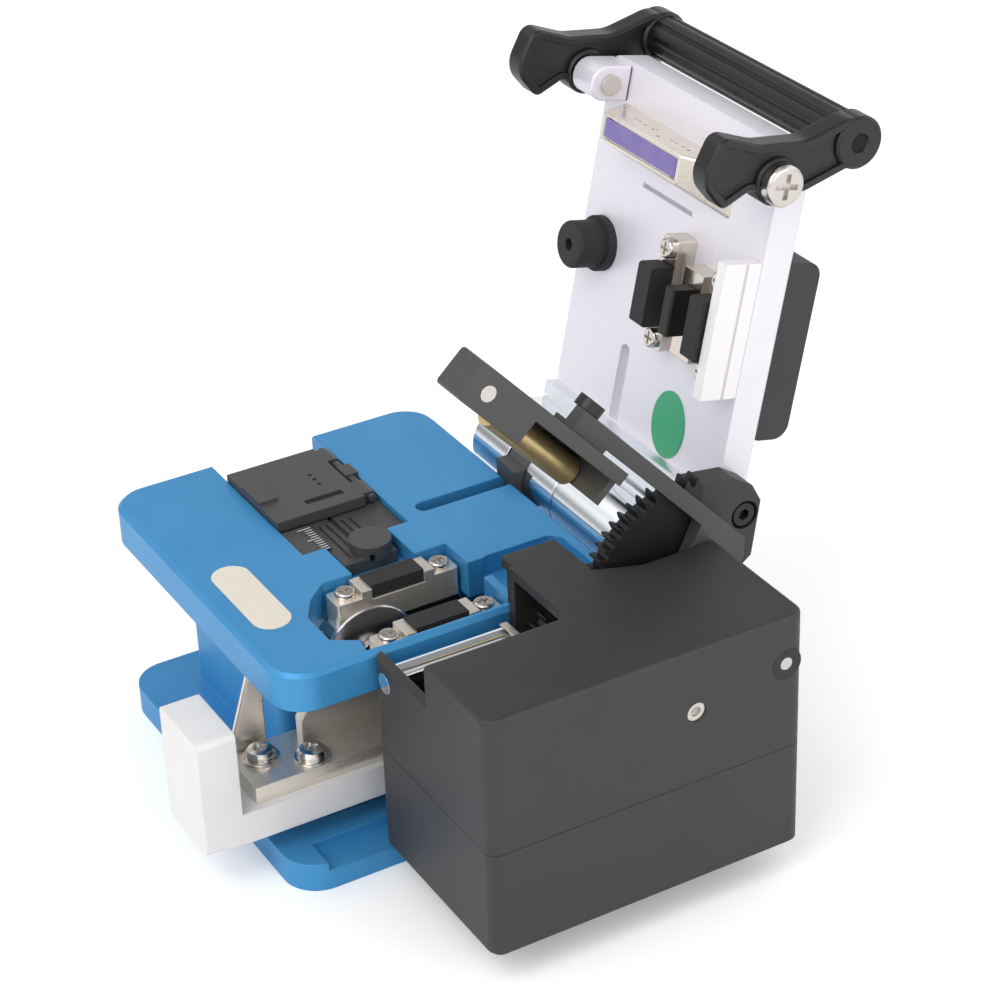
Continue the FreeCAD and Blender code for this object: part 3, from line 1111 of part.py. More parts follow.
# ---- roller arm ----------------------------------------------------------------------------
def arm_frame():
    """Open-sided frame that hangs over the scrap window, with a solid nose."""
    y_rear = out(ARM_REAR)
    y_mid = out(ARM_MID)
    z0 = up(ARM_LOW)
    z1 = up(ARM_HIGH)
    roof = block(ARM_X0, ARM_X1, y_mid, y_rear, z1 - ARM_WALL, z1)
    far_wall = block(ARM_X0, ARM_X0 + ARM_WALL * 0.5, y_mid, y_rear, z0, z1)
    rail = block(ARM_X1 - ARM_WALL, ARM_X1, y_mid, y_rear, z1 - ARM_RAIL_H, z1)
    cheek = block(ARM_X0, ARM_X1 - ARM_WALL, y_rear - ARM_WALL, y_rear, z0, z1)
    web = block(ARM_X0, ARM_X1, y_mid - ARM_WALL, y_mid, z0, z1)
    nose = soften(block(ARM_NOSE_X0, ARM_X1, out(ARM_FRONT), y_mid, z0, z1), 0.8, "x")
    pin_z = BRASS_Z
    pin = rod("y", (ROLLER_X, y_mid - ARM_WALL - 1, pin_z), BRASS_PIN_R, ARM_MID - ARM_REAR + ARM_WALL + 2)
    side = rod("x", (ARM_X1 - 4, out(ARM_PIN_AT[0]), up(ARM_PIN_AT[1])), ARM_PIN_R, 5)
    return join(roof, far_wall, rail, cheek, web, nose).cut([pin, side])


def nose_pin():
    """Bright pin in the arm's nose."""
    return rod("x", (ARM_X1 - 4, out(ARM_PIN_AT[0]), up(ARM_PIN_AT[1])), ARM_PIN_R, 4.1)


def arm_bar():
    """Long bar over the bin's top, its hub on the hinge shaft."""
    outline = [(-3.5, -2.0), (4.5, -2.0), (ARM_BAR_DROP, ARM_BAR_LOW), (ARM_BAR_FAR, ARM_BAR_LOW),
               (ARM_BAR_FAR, ARM_BAR_HIGH), (-1.5, ARM_BAR_HIGH), (-4.5, 10.0)]
    points = [(out(away), up(high)) for away, high in outline]
    bar = plate(points, ARM_BAR_X0, ARM_BAR_X0 + ARM_BAR_T)
    hub = rod("x", (ARM_BAR_X0, HINGE_Y, HINGE_Z), ARM_HUB_R, ARM_BAR_T)
    foot = block(ARM_BAR_X0 - 3.0, ARM_BAR_X0 + ARM_BAR_T, out(ARM_BAR_FAR), out(38.0),
                 up(ARM_HIGH), up(ARM_BAR_LOW))
    bore = rod("x", (ARM_BAR_X0 - 1, HINGE_Y, HINGE_Z), HINGE_ROD_R + RUN_FIT, ARM_BAR_T + 2)
    return join(bar, hub, foot).cut(bore)


def arm_knob():
    """Round screw that ties the bar to the frame."""
    y = out(ARM_BAR_FAR - 2.8)
    return rod("z", (ARM_BAR_X0 - 0.4, y, up(ARM_BAR_HIGH)), 2.6, 2.2)


def brass_roller():
    """Upper scrap roller."""
    length = ARM_MID - ARM_REAR - ARM_WALL - 2 * SIDE_GAP
    y0 = out(ARM_MID) + SIDE_GAP
    body = rod("y", (ROLLER_X, y0, BRASS_Z), BRASS_R, length)
    return body.cut(rod("y", (ROLLER_X, y0 - 1, BRASS_Z), BRASS_PIN_R + RUN_FIT, length + 2))


def brass_pin():
    """Pin of the upper scrap roller."""
    y0 = out(ARM_MID) - ARM_WALL
    return rod("y", (ROLLER_X, y0, BRASS_Z), BRASS_PIN_R, ARM_MID - ARM_REAR + ARM_WALL)


# ---- write every node ----------------------------------------------------------------------
def build():
    """Write one file for each node, moving groups in their resting attitude."""
    save("body_frame", body_frame())
    save("inlay_plate", inlay_plate())
    save("hinge_bracket", hinge_bracket())
    save("hinge_rod", hinge_rod())
    save("clamp_bar_left", clamp_bar(CLAMP_L_X))
    save("clamp_bar_right", clamp_bar(CLAMP_R_X))
    save_set("lower_pads", [clamp_pad(CLAMP_L_X), clamp_pad(CLAMP_R_X)])
    save_set("clamp_screws", clamp_screws())
    save("clamp_bracket_left", left_bracket())
    save("clamp_bracket_right", right_bracket())
    save("holder_base", holder_base())
    save("holder_flap", holder_lid())
    save("holder_pin", holder_pin())
    save("ruler_strip", ruler_plate())
    save("slide_rail", slide_rail())
    save("slider_block", slider_block())
    save("blade_carrier", blade_carrier())
    save_set("carrier_screws", carrier_screws())
    save("blade", blade())
    save("blade_screw", blade_screw())
    save("bin_lower", bin_lower())
    save("bin_upper", bin_upper())
    save("bin_screw", bin_screw())
    save("bearing_plate", bearing_plate())
    save("scrap_roller", scrap_roller())
    save("drive_pinion", pinion())
    save("sector_gear", sector_gear())
    pad_half = CLAMP_W / 2 - 0.2
    save("lid_plate", lid_open(lid_plate()))
    save("lid_barrel", lid_open(lid_barrel()))
    save("side_link", lid_open(side_link()))
    save("link_bolt", lid_open(link_bolt()))
    save("upper_holder_left", lid_open(upper_holder(CLAMP_L_X, pad_half)))
    save("upper_holder_right", lid_open(upper_holder(CLAMP_R_X, pad_half)))
    save_set("upper_pads", [lid_open(upper_pad(x, pad_half - 0.3)) for x in (CLAMP_L_X, CLAMP_R_X)])
    save_set("upper_screws", [lid_open(s) for s in upper_screws()])
    save("anvil_guide", lid_open(anvil_guide()))
    save("anvil", lid_open(anvil()))
    save("edge_rail", lid_open(guide_rail_block()))
    save("stop_post", lid_open(stop_post()))
    save("oval_label", lid_open(round_label()))
    save("keeper_block", lid_open(keeper_block()))
    save("keeper_inset", lid_open(keeper_inset()))
    save("back_pad", lid_open(back_pad()))
    save("pivot_bar", lid_open(pivot_bar()))
    save("handle", lid_open(bail_frame()))
    save_set("handle_screws", [lid_open(s) for s in pivot_screws()])
    save("arm_frame", arm_open(arm_frame()))
    save("arm_bar", arm_open(arm_bar()))
    save("arm_knob", arm_open(arm_knob()))
    save("nose_pin", arm_open(nose_pin()))
    save("brass_roller", arm_open(brass_roller()))
    save("brass_pin", arm_open(brass_pin()))


build()
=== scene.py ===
"""Looks of the bench fibre cleaver: finishes, keeper, handle, small parts, camera and studio.

The frame is the CAD part's: +X along the fibre to the scrap bin, +Y to the hinge, +Z up. Lengths
are in millimetres and become metres where a piece or a node is made, but the studio is in metres.
"""

import math
import bpy
import numpy as np
from mathutils import Matrix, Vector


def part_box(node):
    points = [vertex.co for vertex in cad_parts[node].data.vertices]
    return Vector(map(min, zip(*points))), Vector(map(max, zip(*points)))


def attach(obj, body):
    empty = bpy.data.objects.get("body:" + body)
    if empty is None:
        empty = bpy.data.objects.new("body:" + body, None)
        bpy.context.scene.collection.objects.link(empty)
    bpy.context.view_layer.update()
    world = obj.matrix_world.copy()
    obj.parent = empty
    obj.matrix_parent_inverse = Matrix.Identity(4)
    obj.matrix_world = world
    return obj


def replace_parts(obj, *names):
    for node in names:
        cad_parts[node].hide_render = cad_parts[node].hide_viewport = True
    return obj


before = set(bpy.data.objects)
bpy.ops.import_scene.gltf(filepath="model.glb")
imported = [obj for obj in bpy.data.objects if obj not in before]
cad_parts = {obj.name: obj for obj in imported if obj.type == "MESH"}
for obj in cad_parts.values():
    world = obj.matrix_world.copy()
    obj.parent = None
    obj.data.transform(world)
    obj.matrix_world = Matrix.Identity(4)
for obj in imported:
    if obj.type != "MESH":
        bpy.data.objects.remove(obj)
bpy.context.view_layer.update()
MM = 0.001

# ---- places shared with the CAD part ---------------------------------------------------------
HINGE = (0.0, 42.75, 45.8)
LID_OPEN = math.radians(102.4)      # turn of the lid from shut to open
LID_FACE = 10.4             # lid's inner face over the hinge axis when shut
HANDLE_OUT = 74.8           # handle's pivot out from the hinge
HANDLE_UP = 5.8
BIN_SEAM = 28.2             # height of the bin's parting line
BARREL_FLANGE = 56.8        # middle height of the barrel's upright flange


# ---- shader building -------------------------------------------------------------------------
EDGE_SAMPLES = 6            # rays that round off an edge


class Value:
    """A number in a shader; arithmetic on it adds Math nodes."""

    def __init__(self, nodes, socket):
        self.nodes = nodes
        self.socket = socket

    def _math(self, operation, first, second):
        made = self.nodes.node("ShaderNodeMath", {"operation": operation}, {0: first, 1: second})
        return Value(self.nodes, made.outputs[0])

    def __add__(self, other):
        return self._math("ADD", self, other)

    def __sub__(self, other):
        return self._math("SUBTRACT", self, other)

    def __rsub__(self, other):
        return self._math("SUBTRACT", other, self)

    def __mul__(self, other):
        return self._math("MULTIPLY", self, other)

    def __lt__(self, other):
        return self._math("LESS_THAN", self, other)

    def __gt__(self, other):
        return self._math("GREATER_THAN", self, other)

    __radd__ = __add__
    __rmul__ = __mul__


class Nodes:
    """An emptied node tree and the ways to add to it."""

    def __init__(self, tree):
        self.tree = tree
        tree.nodes.clear()

    def node(self, kind, settings=None, inputs=None):
        """Any node: its settings first, then the values or links of its sockets."""
        made = self.tree.nodes.new(kind)
        for name, value in (settings or {}).items():
            if name == "stops":
                self._stops(made.color_ramp, value)
            else:
                setattr(made, name, value)
        self.feed(made, inputs or {})
        return made

    def feed(self, made, inputs):
        """Set or link sockets by name or number."""
        for name, value in inputs.items():
            if isinstance(value, Value):
                value = value.socket
            if isinstance(value, bpy.types.NodeSocket):
                self.tree.links.new(value, made.inputs[name])
            else:
                made.inputs[name].default_value = value

    def mix(self, share, first, second):
        """Colour between two colours."""
        made = self.node("ShaderNodeMix", {"data_type": "RGBA"}, {0: share, 6: first, 7: second})
        return made.outputs[2]

    def ramp(self, value, stops):
        """Value passed through grey stops (place, shade)."""
        made = self.node("ShaderNodeValToRGB", {"stops": stops}, {0: value})
        return Value(self, made.outputs[0])

    def _stops(self, ramp, stops):
        while len(ramp.elements) < len(stops):
            ramp.elements.new(0.5)
        for element, (place, shade) in zip(ramp.elements, stops):
            element.position = place
            element.color = (shade, shade, shade, 1.0)


class Paint(Nodes):
    """One material: a Principled shader and the nodes that feed it."""

    def __init__(self, name):
        self.material = bpy.data.materials.new(name)
        self.material.use_nodes = True
        super().__init__(self.material.node_tree)
        self.shader = self.node("ShaderNodeBsdfPrincipled")
        self.node("ShaderNodeOutputMaterial", {}, {"Surface": self.shader.outputs[0]})

    def place(self, stretch=(1.0, 1.0, 1.0)):
        """The piece's own coordinates, stretched."""
        own = self.node("ShaderNodeTexCoord").outputs["Object"]
        return self.node("ShaderNodeMapping", {}, {"Vector": own, "Scale": stretch}).outputs[0]

    def noise(self, cell, detail=2.0, stretch=(1.0, 1.0, 1.0)):
        """Cloudy noise from 0 to 1 with cells of about that many millimetres."""
        inputs = {"Vector": self.place(stretch), "Scale": 1.0 / (cell * MM), "Detail": detail}
        return Value(self, self.node("ShaderNodeTexNoise", {}, inputs).outputs[0])

    def along(self, axis):
        """One own coordinate of the piece, in millimetres: 0 is X, 1 is Y, 2 is Z."""
        own = self.node("ShaderNodeTexCoord").outputs["Object"]
        split = self.node("ShaderNodeSeparateXYZ", {}, {"Vector": own})
        return Value(self, split.outputs[axis]) * (1.0 / MM)

    def band(self, axis, centre, half):
        """1 within a half width of a centre along an axis, else 0, in millimetres."""
        away = self.along(axis) - centre
        return away * away < half * half

    def edge_normal(self, radius):
        """Surface direction rounded over sharp edges, radius in millimetres."""
        return self.node("ShaderNodeBevel", {"samples": EDGE_SAMPLES}, {"Radius": radius * MM}).outputs[0]

    def finish(self, base, metallic, rough, grain, depth, edge, **more):
        """Feed the shader: colour, metal share, roughness, a grain that stands that deep as a bump,
        the radius of its rounded edges, and other constants by name."""
        inputs = {"Strength": 1.0, "Distance": depth * MM, "Height": grain,
                  "Normal": self.edge_normal(edge)}
        normal = self.node("ShaderNodeBump", {}, inputs).outputs[0]
        inputs = {"Base Color": base, "Metallic": metallic, "Roughness": rough, "Normal": normal}
        self.feed(self.shader, inputs)
        for name, value in more.items():
            self.shader.inputs[name.replace("_", " ").title()].default_value = value
        return self.material


def shade(red, green, blue):
    """Colour written as it shows on a display, 0 to 255, in the shader's linear terms."""
    parts = np.array([red, green, blue]) / 255.0
    linear = np.where(parts <= 0.04045, parts / 12.92, ((parts + 0.055) / 1.055) ** 2.4)
    return (*linear.tolist(), 1.0)


# ---- finishes --------------------------------------------------------------------------------
def blue_anodised():
    """Bead-blasted aluminium dyed blue: fine grain, soft cloudiness, satin gloss."""
    paint = Paint("blue_anodised")
    cloud = paint.noise(14, 3)
    grain = paint.noise(0.14, 2)
    base = paint.mix(cloud, shade(50, 134, 190), shade(68, 150, 204))
    return paint.finish(base, 0.3, grain * 0.1 + 0.36, grain, 0.004, 0.45)


def silver_anodised():
    """Clear anodised plate with a faint lengthwise draw."""
    paint = Paint("silver_anodised")
    draw = paint.noise(0.5, 3, (1.0, 0.06, 0.06))
    grain = paint.noise(0.12, 2)
    base = paint.mix(draw, shade(228, 225, 233), shade(236, 233, 240))
    return paint.finish(base, 0.3, draw * 0.05 + 0.4, grain, 0.003, 0.25)


def black_anodised():
    """Matte black anodised metal: blasted grain, small pale specks and the bin's parting line."""
    paint = Paint("black_anodised")
    grain = paint.noise(0.16, 2)
    cloud = paint.noise(11, 3)
    specks = paint.ramp(paint.noise(0.9, 4), [(0.0, 0.0), (0.72, 0.0), (0.8, 0.5)])
    base = paint.mix(cloud, shade(42, 41, 42), shade(50, 49, 50))
    base = paint.mix(specks * 0.25, base, shade(110, 108, 106))
    seam = paint.band(2, BIN_SEAM, 0.12)
    base = paint.mix(seam, base, shade(9, 9, 9))
    return paint.finish(base, 0.0, grain * 0.12 + 0.44, grain, 0.006, 0.5)


def holder_black():
    """Machined black anodised metal of the fibre holder and the roller arm."""
    paint = Paint("machined_black")
    draw = paint.noise(0.25, 2, (0.05, 1.0, 1.0))
    grain = paint.noise(0.1, 2)
    base = paint.mix(draw, shade(66, 66, 66), shade(82, 81, 81))
    return paint.finish(base, 0.25, draw * 0.12 + 0.38, grain, 0.003, 0.25)


def moulded_black():
    """Moulded black plastic: slight gloss, fine spark texture."""
    paint = Paint("moulded_black")
    grain = paint.noise(0.2, 3)
    cloud = paint.noise(9, 2)
    base = paint.mix(cloud, shade(16, 16, 16), shade(25, 24, 25))
    return paint.finish(base, 0.0, grain * 0.16 + 0.3, grain, 0.007, 0.35)


def black_rubber():
    """Matte rubber of pads and post."""
    paint = Paint("black_rubber")
    grain = paint.noise(0.25, 3)
    base = paint.mix(grain, shade(26, 26, 27), shade(44, 43, 44))
    return paint.finish(base, 0.0, grain * 0.1 + 0.62, grain, 0.012, 0.2)


def gear_oxide():
    """Oiled black oxide steel of the gears."""
    paint = Paint("gear_oxide")
    grain = paint.noise(0.2, 3)
    base = paint.mix(grain, shade(20, 20, 20), shade(36, 35, 34))
    return paint.finish(base, 0.2, grain * 0.2 + 0.36, grain, 0.008, 0.12)


def white_blasted():
    """Pale bead-blasted slider metal."""
    paint = Paint("white_blasted")
    grain = paint.noise(0.18, 2)
    cloud = paint.noise(12, 2)
    base = paint.mix(cloud, shade(222, 220, 219), shade(236, 234, 233))
    return paint.finish(base, 0.2, grain * 0.15 + 0.48, grain, 0.007, 0.35)


def pale_resin():
    """Off-white moulded rail."""
    paint = Paint("pale_resin")
    grain = paint.noise(0.3, 3)
    base = paint.mix(grain, shade(232, 229, 230), shade(242, 239, 240))
    return paint.finish(base, 0.0, grain * 0.1 + 0.42, grain, 0.004, 0.25)


def nickel_plated():
    """Bright warm plating over machined steel, gently uneven so reflections wander."""
    paint = Paint("nickel_plated")
    wander = paint.noise(5, 2)
    grain = paint.noise(0.3, 2)
    base = paint.mix(grain, shade(206, 198, 187), shade(226, 219, 209))
    return paint.finish(base, 1.0, grain * 0.1 + 0.12, wander, 0.09, 0.2)


def satin_nickel():
    """Pale satin plating of the clamp bars, the blade carrier and the keeper."""
    paint = Paint("satin_nickel")
    draw = paint.noise(0.4, 3, (1.0, 0.1, 1.0))
    base = paint.mix(draw, shade(222, 214, 202), shade(240, 233, 222))
    return paint.finish(base, 0.75, draw * 0.1 + 0.24, draw, 0.003, 0.3)


def deep_shadow():
    """Painted shade: near-black colour that stands for the unlit depth of a hole."""
    paint = Paint("deep_shadow")
    grain = paint.noise(0.5, 2)
    base = paint.mix(grain, shade(3, 3, 3), shade(8, 8, 8))
    return paint.finish(base, 0.0, grain * 0.1 + 0.8, grain, 0.001, 0.02)


def dark_ink():
    """Grey ink of the small strokes."""
    paint = Paint("dark_ink")
    grain = paint.noise(0.2, 2)
    base = paint.mix(grain, shade(70, 66, 64), shade(110, 106, 102))
    return paint.finish(base, 0.0, grain * 0.1 + 0.5, grain, 0.001, 0.02)


def chrome():
    """Mirror-like hinge barrel with light polishing lines around it, duller on its flange."""
    paint = Paint("chrome")
    lines = paint.noise(0.4, 2, (1.0, 0.04, 0.04))
    base = paint.mix(lines, shade(230, 234, 240), shade(243, 245, 249))
    flange = paint.band(2, BARREL_FLANGE, 4.0)
    return paint.finish(base, 1.0, lines * 0.06 + flange * 0.3 + 0.08, lines, 0.002, 0.3)


def bright_steel():
    """Plated screw heads and pins."""
    paint = Paint("bright_steel")
    grain = paint.noise(0.25, 2)
    base = paint.mix(grain, shade(196, 190, 184), shade(222, 218, 212))
    return paint.finish(base, 1.0, grain * 0.12 + 0.16, grain, 0.004, 0.18)


def ground_steel():
    """Blade and shaft steel with fine grinding lines."""
    paint = Paint("ground_steel")
    lines = paint.noise(0.3, 2, (1.0, 0.1, 1.0))
    base = paint.mix(lines, shade(186, 188, 192), shade(214, 216, 220))
    return paint.finish(base, 1.0, lines * 0.14 + 0.16, lines, 0.003, 0.05)


def brass():
    """Turned brass with a fine grain of lighter and darker tone."""
    paint = Paint("brass")
    grain = paint.noise(0.35, 3)
    base = paint.mix(grain, shade(208, 180, 124), shade(238, 216, 164))
    return paint.finish(base, 0.9, grain * 0.2 + 0.26, grain, 0.006, 0.05)


def cream_inlay():
    """Warm satin plate in the deck."""
    paint = Paint("cream_inlay")
    draw = paint.noise(0.4, 3, (0.1, 1.0, 1.0))
    base = paint.mix(draw, shade(228, 222, 209), shade(240, 234, 222))
    return paint.finish(base, 0.35, draw * 0.14 + 0.34, draw, 0.002, 0.1)


def green_foil():
    """Plain green foil disc."""
    paint = Paint("green_foil")
    grain = paint.noise(0.5, 3)
    base = paint.mix(grain, shade(48, 150, 104), shade(68, 168, 122))
    return paint.finish(base, 0.0, grain * 0.1 + 0.3, grain, 0.003, 0.05)


def violet_glass():
    """Violet strip under a clear gloss."""
    paint = Paint("violet_glass")
    cloud = paint.noise(6, 2)
    base = paint.mix(cloud, shade(84, 66, 150), shade(132, 116, 178))
    return paint.finish(base, 0.1, cloud * 0.1 + 0.12, cloud, 0.004, 0.08, coat_weight=0.6)


def white_print():
    """White ink of the ruler marks."""
    paint = Paint("white_print")
    grain = paint.noise(0.2, 2)
    base = paint.mix(grain, shade(206, 206, 208), shade(232, 232, 234))
    return paint.finish(base, 0.0, grain * 0.1 + 0.5, grain, 0.001, 0.02)


FINISHES = {
    blue_anodised: ["body_frame"],
    cream_inlay: ["inlay_plate"],
    black_anodised: ["bin_lower", "bin_upper", "back_pad", "side_link"],
    holder_black: ["holder_base", "holder_flap", "holder_pin", "ruler_strip", "arm_frame", "arm_bar",
                   "hinge_bracket"],
    moulded_black: ["handle", "arm_knob"],
    black_rubber: ["lower_pads", "upper_pads", "stop_post"],
    gear_oxide: ["sector_gear", "drive_pinion", "anvil", "link_bolt"],
    silver_anodised: ["lid_plate", "pivot_bar"],
    white_blasted: ["slider_block"],
    pale_resin: ["edge_rail"],
    satin_nickel: ["clamp_bar_left", "clamp_bar_right", "blade_carrier", "keeper_block", "bearing_plate"],
    nickel_plated: ["clamp_bracket_left", "clamp_bracket_right", "upper_holder_left",
                    "upper_holder_right", "anvil_guide", "slide_rail"],
    chrome: ["lid_barrel", "scrap_roller"],
    bright_steel: ["clamp_screws", "carrier_screws", "upper_screws", "handle_screws", "bin_screw",
                   "blade_screw", "nose_pin", "brass_pin"],
    ground_steel: ["blade", "hinge_rod"],
    brass: ["brass_roller"],
    green_foil: ["oval_label"],
    violet_glass: ["keeper_inset"],
}


def dress_cad():
    """Give every CAD piece its finish."""
    made = {}
    for finish, names in FINISHES.items():
        material = finish()
        made[finish.__name__] = material
        for name in names:
            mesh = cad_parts[name].data
            mesh.materials.clear()
            mesh.materials.append(material)
    return made


# ---- new pieces ------------------------------------------------------------------------------
TURN_STEPS = 72             # steps round a turned piece
RIM_SLOPE = 0.2             # how far a dish narrows to its floor
INK_T = 0.02                # thickness of printed strokes on the keeper
ARM_GAP = 0.2               # arm face below the faces of its bosses
GRIP_FROM_PIVOT = (-6.7, 16.3)      # along Y and up, on the shut lid
GRIP_R = 4.3
GRIP_STEPS = 160            # steps round the grip
FLUTES = 8
FLUTE_DEPTH = 0.5
ROD_END_X = 78.9            # end of the hinge rod, and the bin's face around it
BIN_FACE_X = 79.0
CARRIER_SCREWS = ((20.75, -32.0), (25.75, -24.0))
RULER_STROKES = 11
RULER_START = 0.9           # first stroke from the ruler's left end
RULER_STEP = 0.85
LONG_EVERY = 5
STROKE_LONG = 2.6
STROKE_SHORT = 1.5
STROKE_W = 0.16
STROKE_IN = 0.3             # strokes' near ends from the ruler's edge
STROKE_SUNK = 0.02
STROKE_T = 0.04


def add_piece(name, points, faces, material, body):
    """A mesh object at the origin that rides on a body; points in metres."""
    mesh = bpy.data.meshes.new(name)
    mesh.from_pydata(points.tolist(), [], faces)
    mesh.materials.append(material)
    piece = bpy.data.objects.new(name, mesh)
    bpy.context.scene.collection.objects.link(piece)
    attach(piece, body)
    return piece


def from_lid(points):
    """Points given as (x, out from the hinge, up) on the shut lid, swung with the open lid."""
    x, out, up = np.moveaxis(np.asarray(points, dtype=float), -1, 0)
    y = -out * np.cos(LID_OPEN) + up * np.sin(LID_OPEN)
    z = out * np.sin(LID_OPEN) + up * np.cos(LID_OPEN)
    return np.stack([x, y + HINGE[1], z + HINGE[2]], axis=-1)


def rounded(corners, radii, steps=6):
    """Outline with each corner replaced by an arc that touches both its edges."""
    at = np.array(corners, dtype=float)
    back = np.roll(at, 1, axis=0) - at
    ahead = np.roll(at, -1, axis=0) - at
    back = back / np.linalg.norm(back, axis=1, keepdims=True)
    ahead = ahead / np.linalg.norm(ahead, axis=1, keepdims=True)
    opening = np.arccos(np.clip((back * ahead).sum(axis=1), -0.9999, 0.9999))[:, None]
    radii = np.array(radii, dtype=float)[:, None]
    middle = back + ahead
    middle = middle / np.linalg.norm(middle, axis=1, keepdims=True)
    centre = at + middle * radii / np.sin(opening / 2)
    start = at + back * radii / np.tan(opening / 2) - centre
    end = at + ahead * radii / np.tan(opening / 2) - centre
    share = np.linspace(0.0, 1.0, steps)[None, :, None]
    turn = (np.pi - opening)[:, None, :]
    arc = (np.sin((1 - share) * turn) * start[:, None] + np.sin(share * turn) * end[:, None]) / np.sin(turn)
    return (centre[:, None] + arc).reshape(-1, 2)


def shrunk(ring, amount):
    """Anticlockwise outline moved inward along its normals."""
    along = np.roll(ring, -1, axis=0) - np.roll(ring, 1, axis=0)
    along = along / np.linalg.norm(along, axis=1, keepdims=True)
    return ring + amount * np.stack([-along[:, 1], along[:, 0]], axis=1)


def ring_quads(rows, columns):
    """Quads between each ring of a stack and the next, closed around the columns."""
    row, column = np.meshgrid(np.arange(rows - 1), np.arange(columns), indexing="ij")
    after = (column + 1) % columns
    return np.stack([row * columns + column, row * columns + after, (row + 1) * columns + after,
                     (row + 1) * columns + column], axis=-1).reshape(-1, 4)


def skin(name, rings, material, body):
    """Closed solid through a stack of rings (rows, columns, xyz), its end rings capped. The sign of its
    volume, summed over the pyramids from the origin to each face, turns the faces outward."""
    rings = np.asarray(rings) * MM
    rows, columns = rings.shape[:2]
    quads = ring_quads(rows, columns)
    caps = [np.arange(columns)[::-1], (rows - 1) * columns + np.arange(columns)]
    points = rings.reshape(-1, 3)
    a, b, c, d = (points[quads[:, k]] for k in range(4))
    volume = (a * (np.cross(b, c) + np.cross(c, d))).sum()
    for cap in caps:
        fan = points[cap]
        volume += (fan[0] * np.cross(fan[1:-1], fan[2:])).sum()
    faces = quads.tolist() + [cap.tolist() for cap in caps]
    if volume < 0:
        faces = [face[::-1] for face in faces]
    return add_piece(name, points, faces, material, body)


def pressed(ring, x0, x1, edge, rim=0.0, dip=0.0):
    """Stack for a plate of an outline between two X places, its edges broken, its faces dished
    inside a rim: outline points (y, z) shrink and step inward."""
    rows = [(edge, x0), (0.0, x0 + edge), (0.0, x1 - edge), (edge, x1)]
    if rim:
        foot = rim + RIM_SLOPE
        rows = [(foot, x0 + dip), (rim, x0)] + rows + [(rim, x1), (foot, x1 - dip)]
    return np.array([np.column_stack([np.full(len(ring), x), shrunk(ring, inset)]) for inset, x in rows])


def turned(profile, centre, axis, lobes=0.0, lobed_from=None):
    """Stack for a turned piece: each (place along the axis, radius) is swept round the axis, and the
    rows from a given one on swell by a share with the cosine of four times the angle."""
    angle = np.linspace(0.0, 2 * np.pi, TURN_STEPS, endpoint=False)
    place, radius = np.array(profile, dtype=float).T
    swell = np.ones((len(place), TURN_STEPS))
    if lobed_from is not None:
        swell[lobed_from:] += lobes * np.cos(4 * angle)
    radius = radius[:, None] * swell
    across = [radius * np.cos(angle), radius * np.sin(angle)]
    across.insert(axis, np.repeat(place[:, None], TURN_STEPS, axis=1))
    return np.stack(across, axis=-1) + np.array(centre)


def keeper(silver, nickel, violet, ink):
    """Plated keeper on the lid: a frustum that narrows away from the lid, a sunk violet strip on its
    front, small strokes on its upper side, and the two lugs that take the handle's screws."""
    def face(x0, x1, out0, out1, up, inset):
        """Ring of the frustum at a height: a rectangle with rounded corners, shrunk by an inset."""
        ring = rounded([(x0, out0), (x1, out0), (x1, out1), (x0, out1)], [0.6] * 4)
        return np.column_stack([shrunk(ring, inset), np.full(len(ring), up)])

    back = (-12.0, 26.0, 61.5, 71.0)
    front = (-8.0, 18.0, 65.2, 71.0)
    stack = [face(*back, LID_FACE, 0.0), face(*front, 3.5, 0.0), face(*front, 3.2, 0.3),
             face(*front, 3.2, 0.75), face(*front, 3.5, 0.8)]
    block = skin("keeper", from_lid(stack), nickel, "lid")
    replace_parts(block, "keeper_block", "keeper_inset", "pivot_bar")
    points, faces = plates([((-6.9, 66.3, 3.3), (16.9, 69.9, 3.49))])
    add_piece("violet_strip", from_lid(points) * MM, faces.tolist(), violet, "lid")
    lug = rounded([(71.4, 1.8), (78.2, 1.8), (78.2, LID_FACE), (71.4, LID_FACE)], [3.2, 3.2, 0.1, 0.1])
    for name, x0, x1 in (("handle_lug_left", -18.4, -11.5), ("handle_lug_right", 31.0, 37.9)):
        skin(name, from_lid(pressed(lug, x0, x1, 0.3)), silver, "lid")
    spots = np.array([[-5, 5.2], [-3.2, 6.8], [-1.4, 6.6], [0.6, 6.4], [3.2, 6.4], [3.4, 7.4], [7, 5.0],
                      [9.0, 6.6], [11.0, 6.4], [13.0, 6.6], [15.0, 6.4]])
    sizes = np.array([[0.7, 0.4], [1.1, 0.22], [0.9, 0.22], [0.9, 0.22], [0.6, 0.5], [0.5, 0.3], [0.7, 0.4],
                      [1.1, 0.22], [0.9, 0.22], [0.9, 0.22], [0.7, 0.5]])
    low = np.column_stack([spots[:, 0], np.full(len(spots), back[3] - INK_T / 2), spots[:, 1]])
    high = low + np.column_stack([sizes[:, 0], np.full(len(spots), INK_T), sizes[:, 1]])
    points, faces = plates(list(zip(low, high)))
    add_piece("keeper_strokes", from_lid(points) * MM, faces.tolist(), ink, "lid")


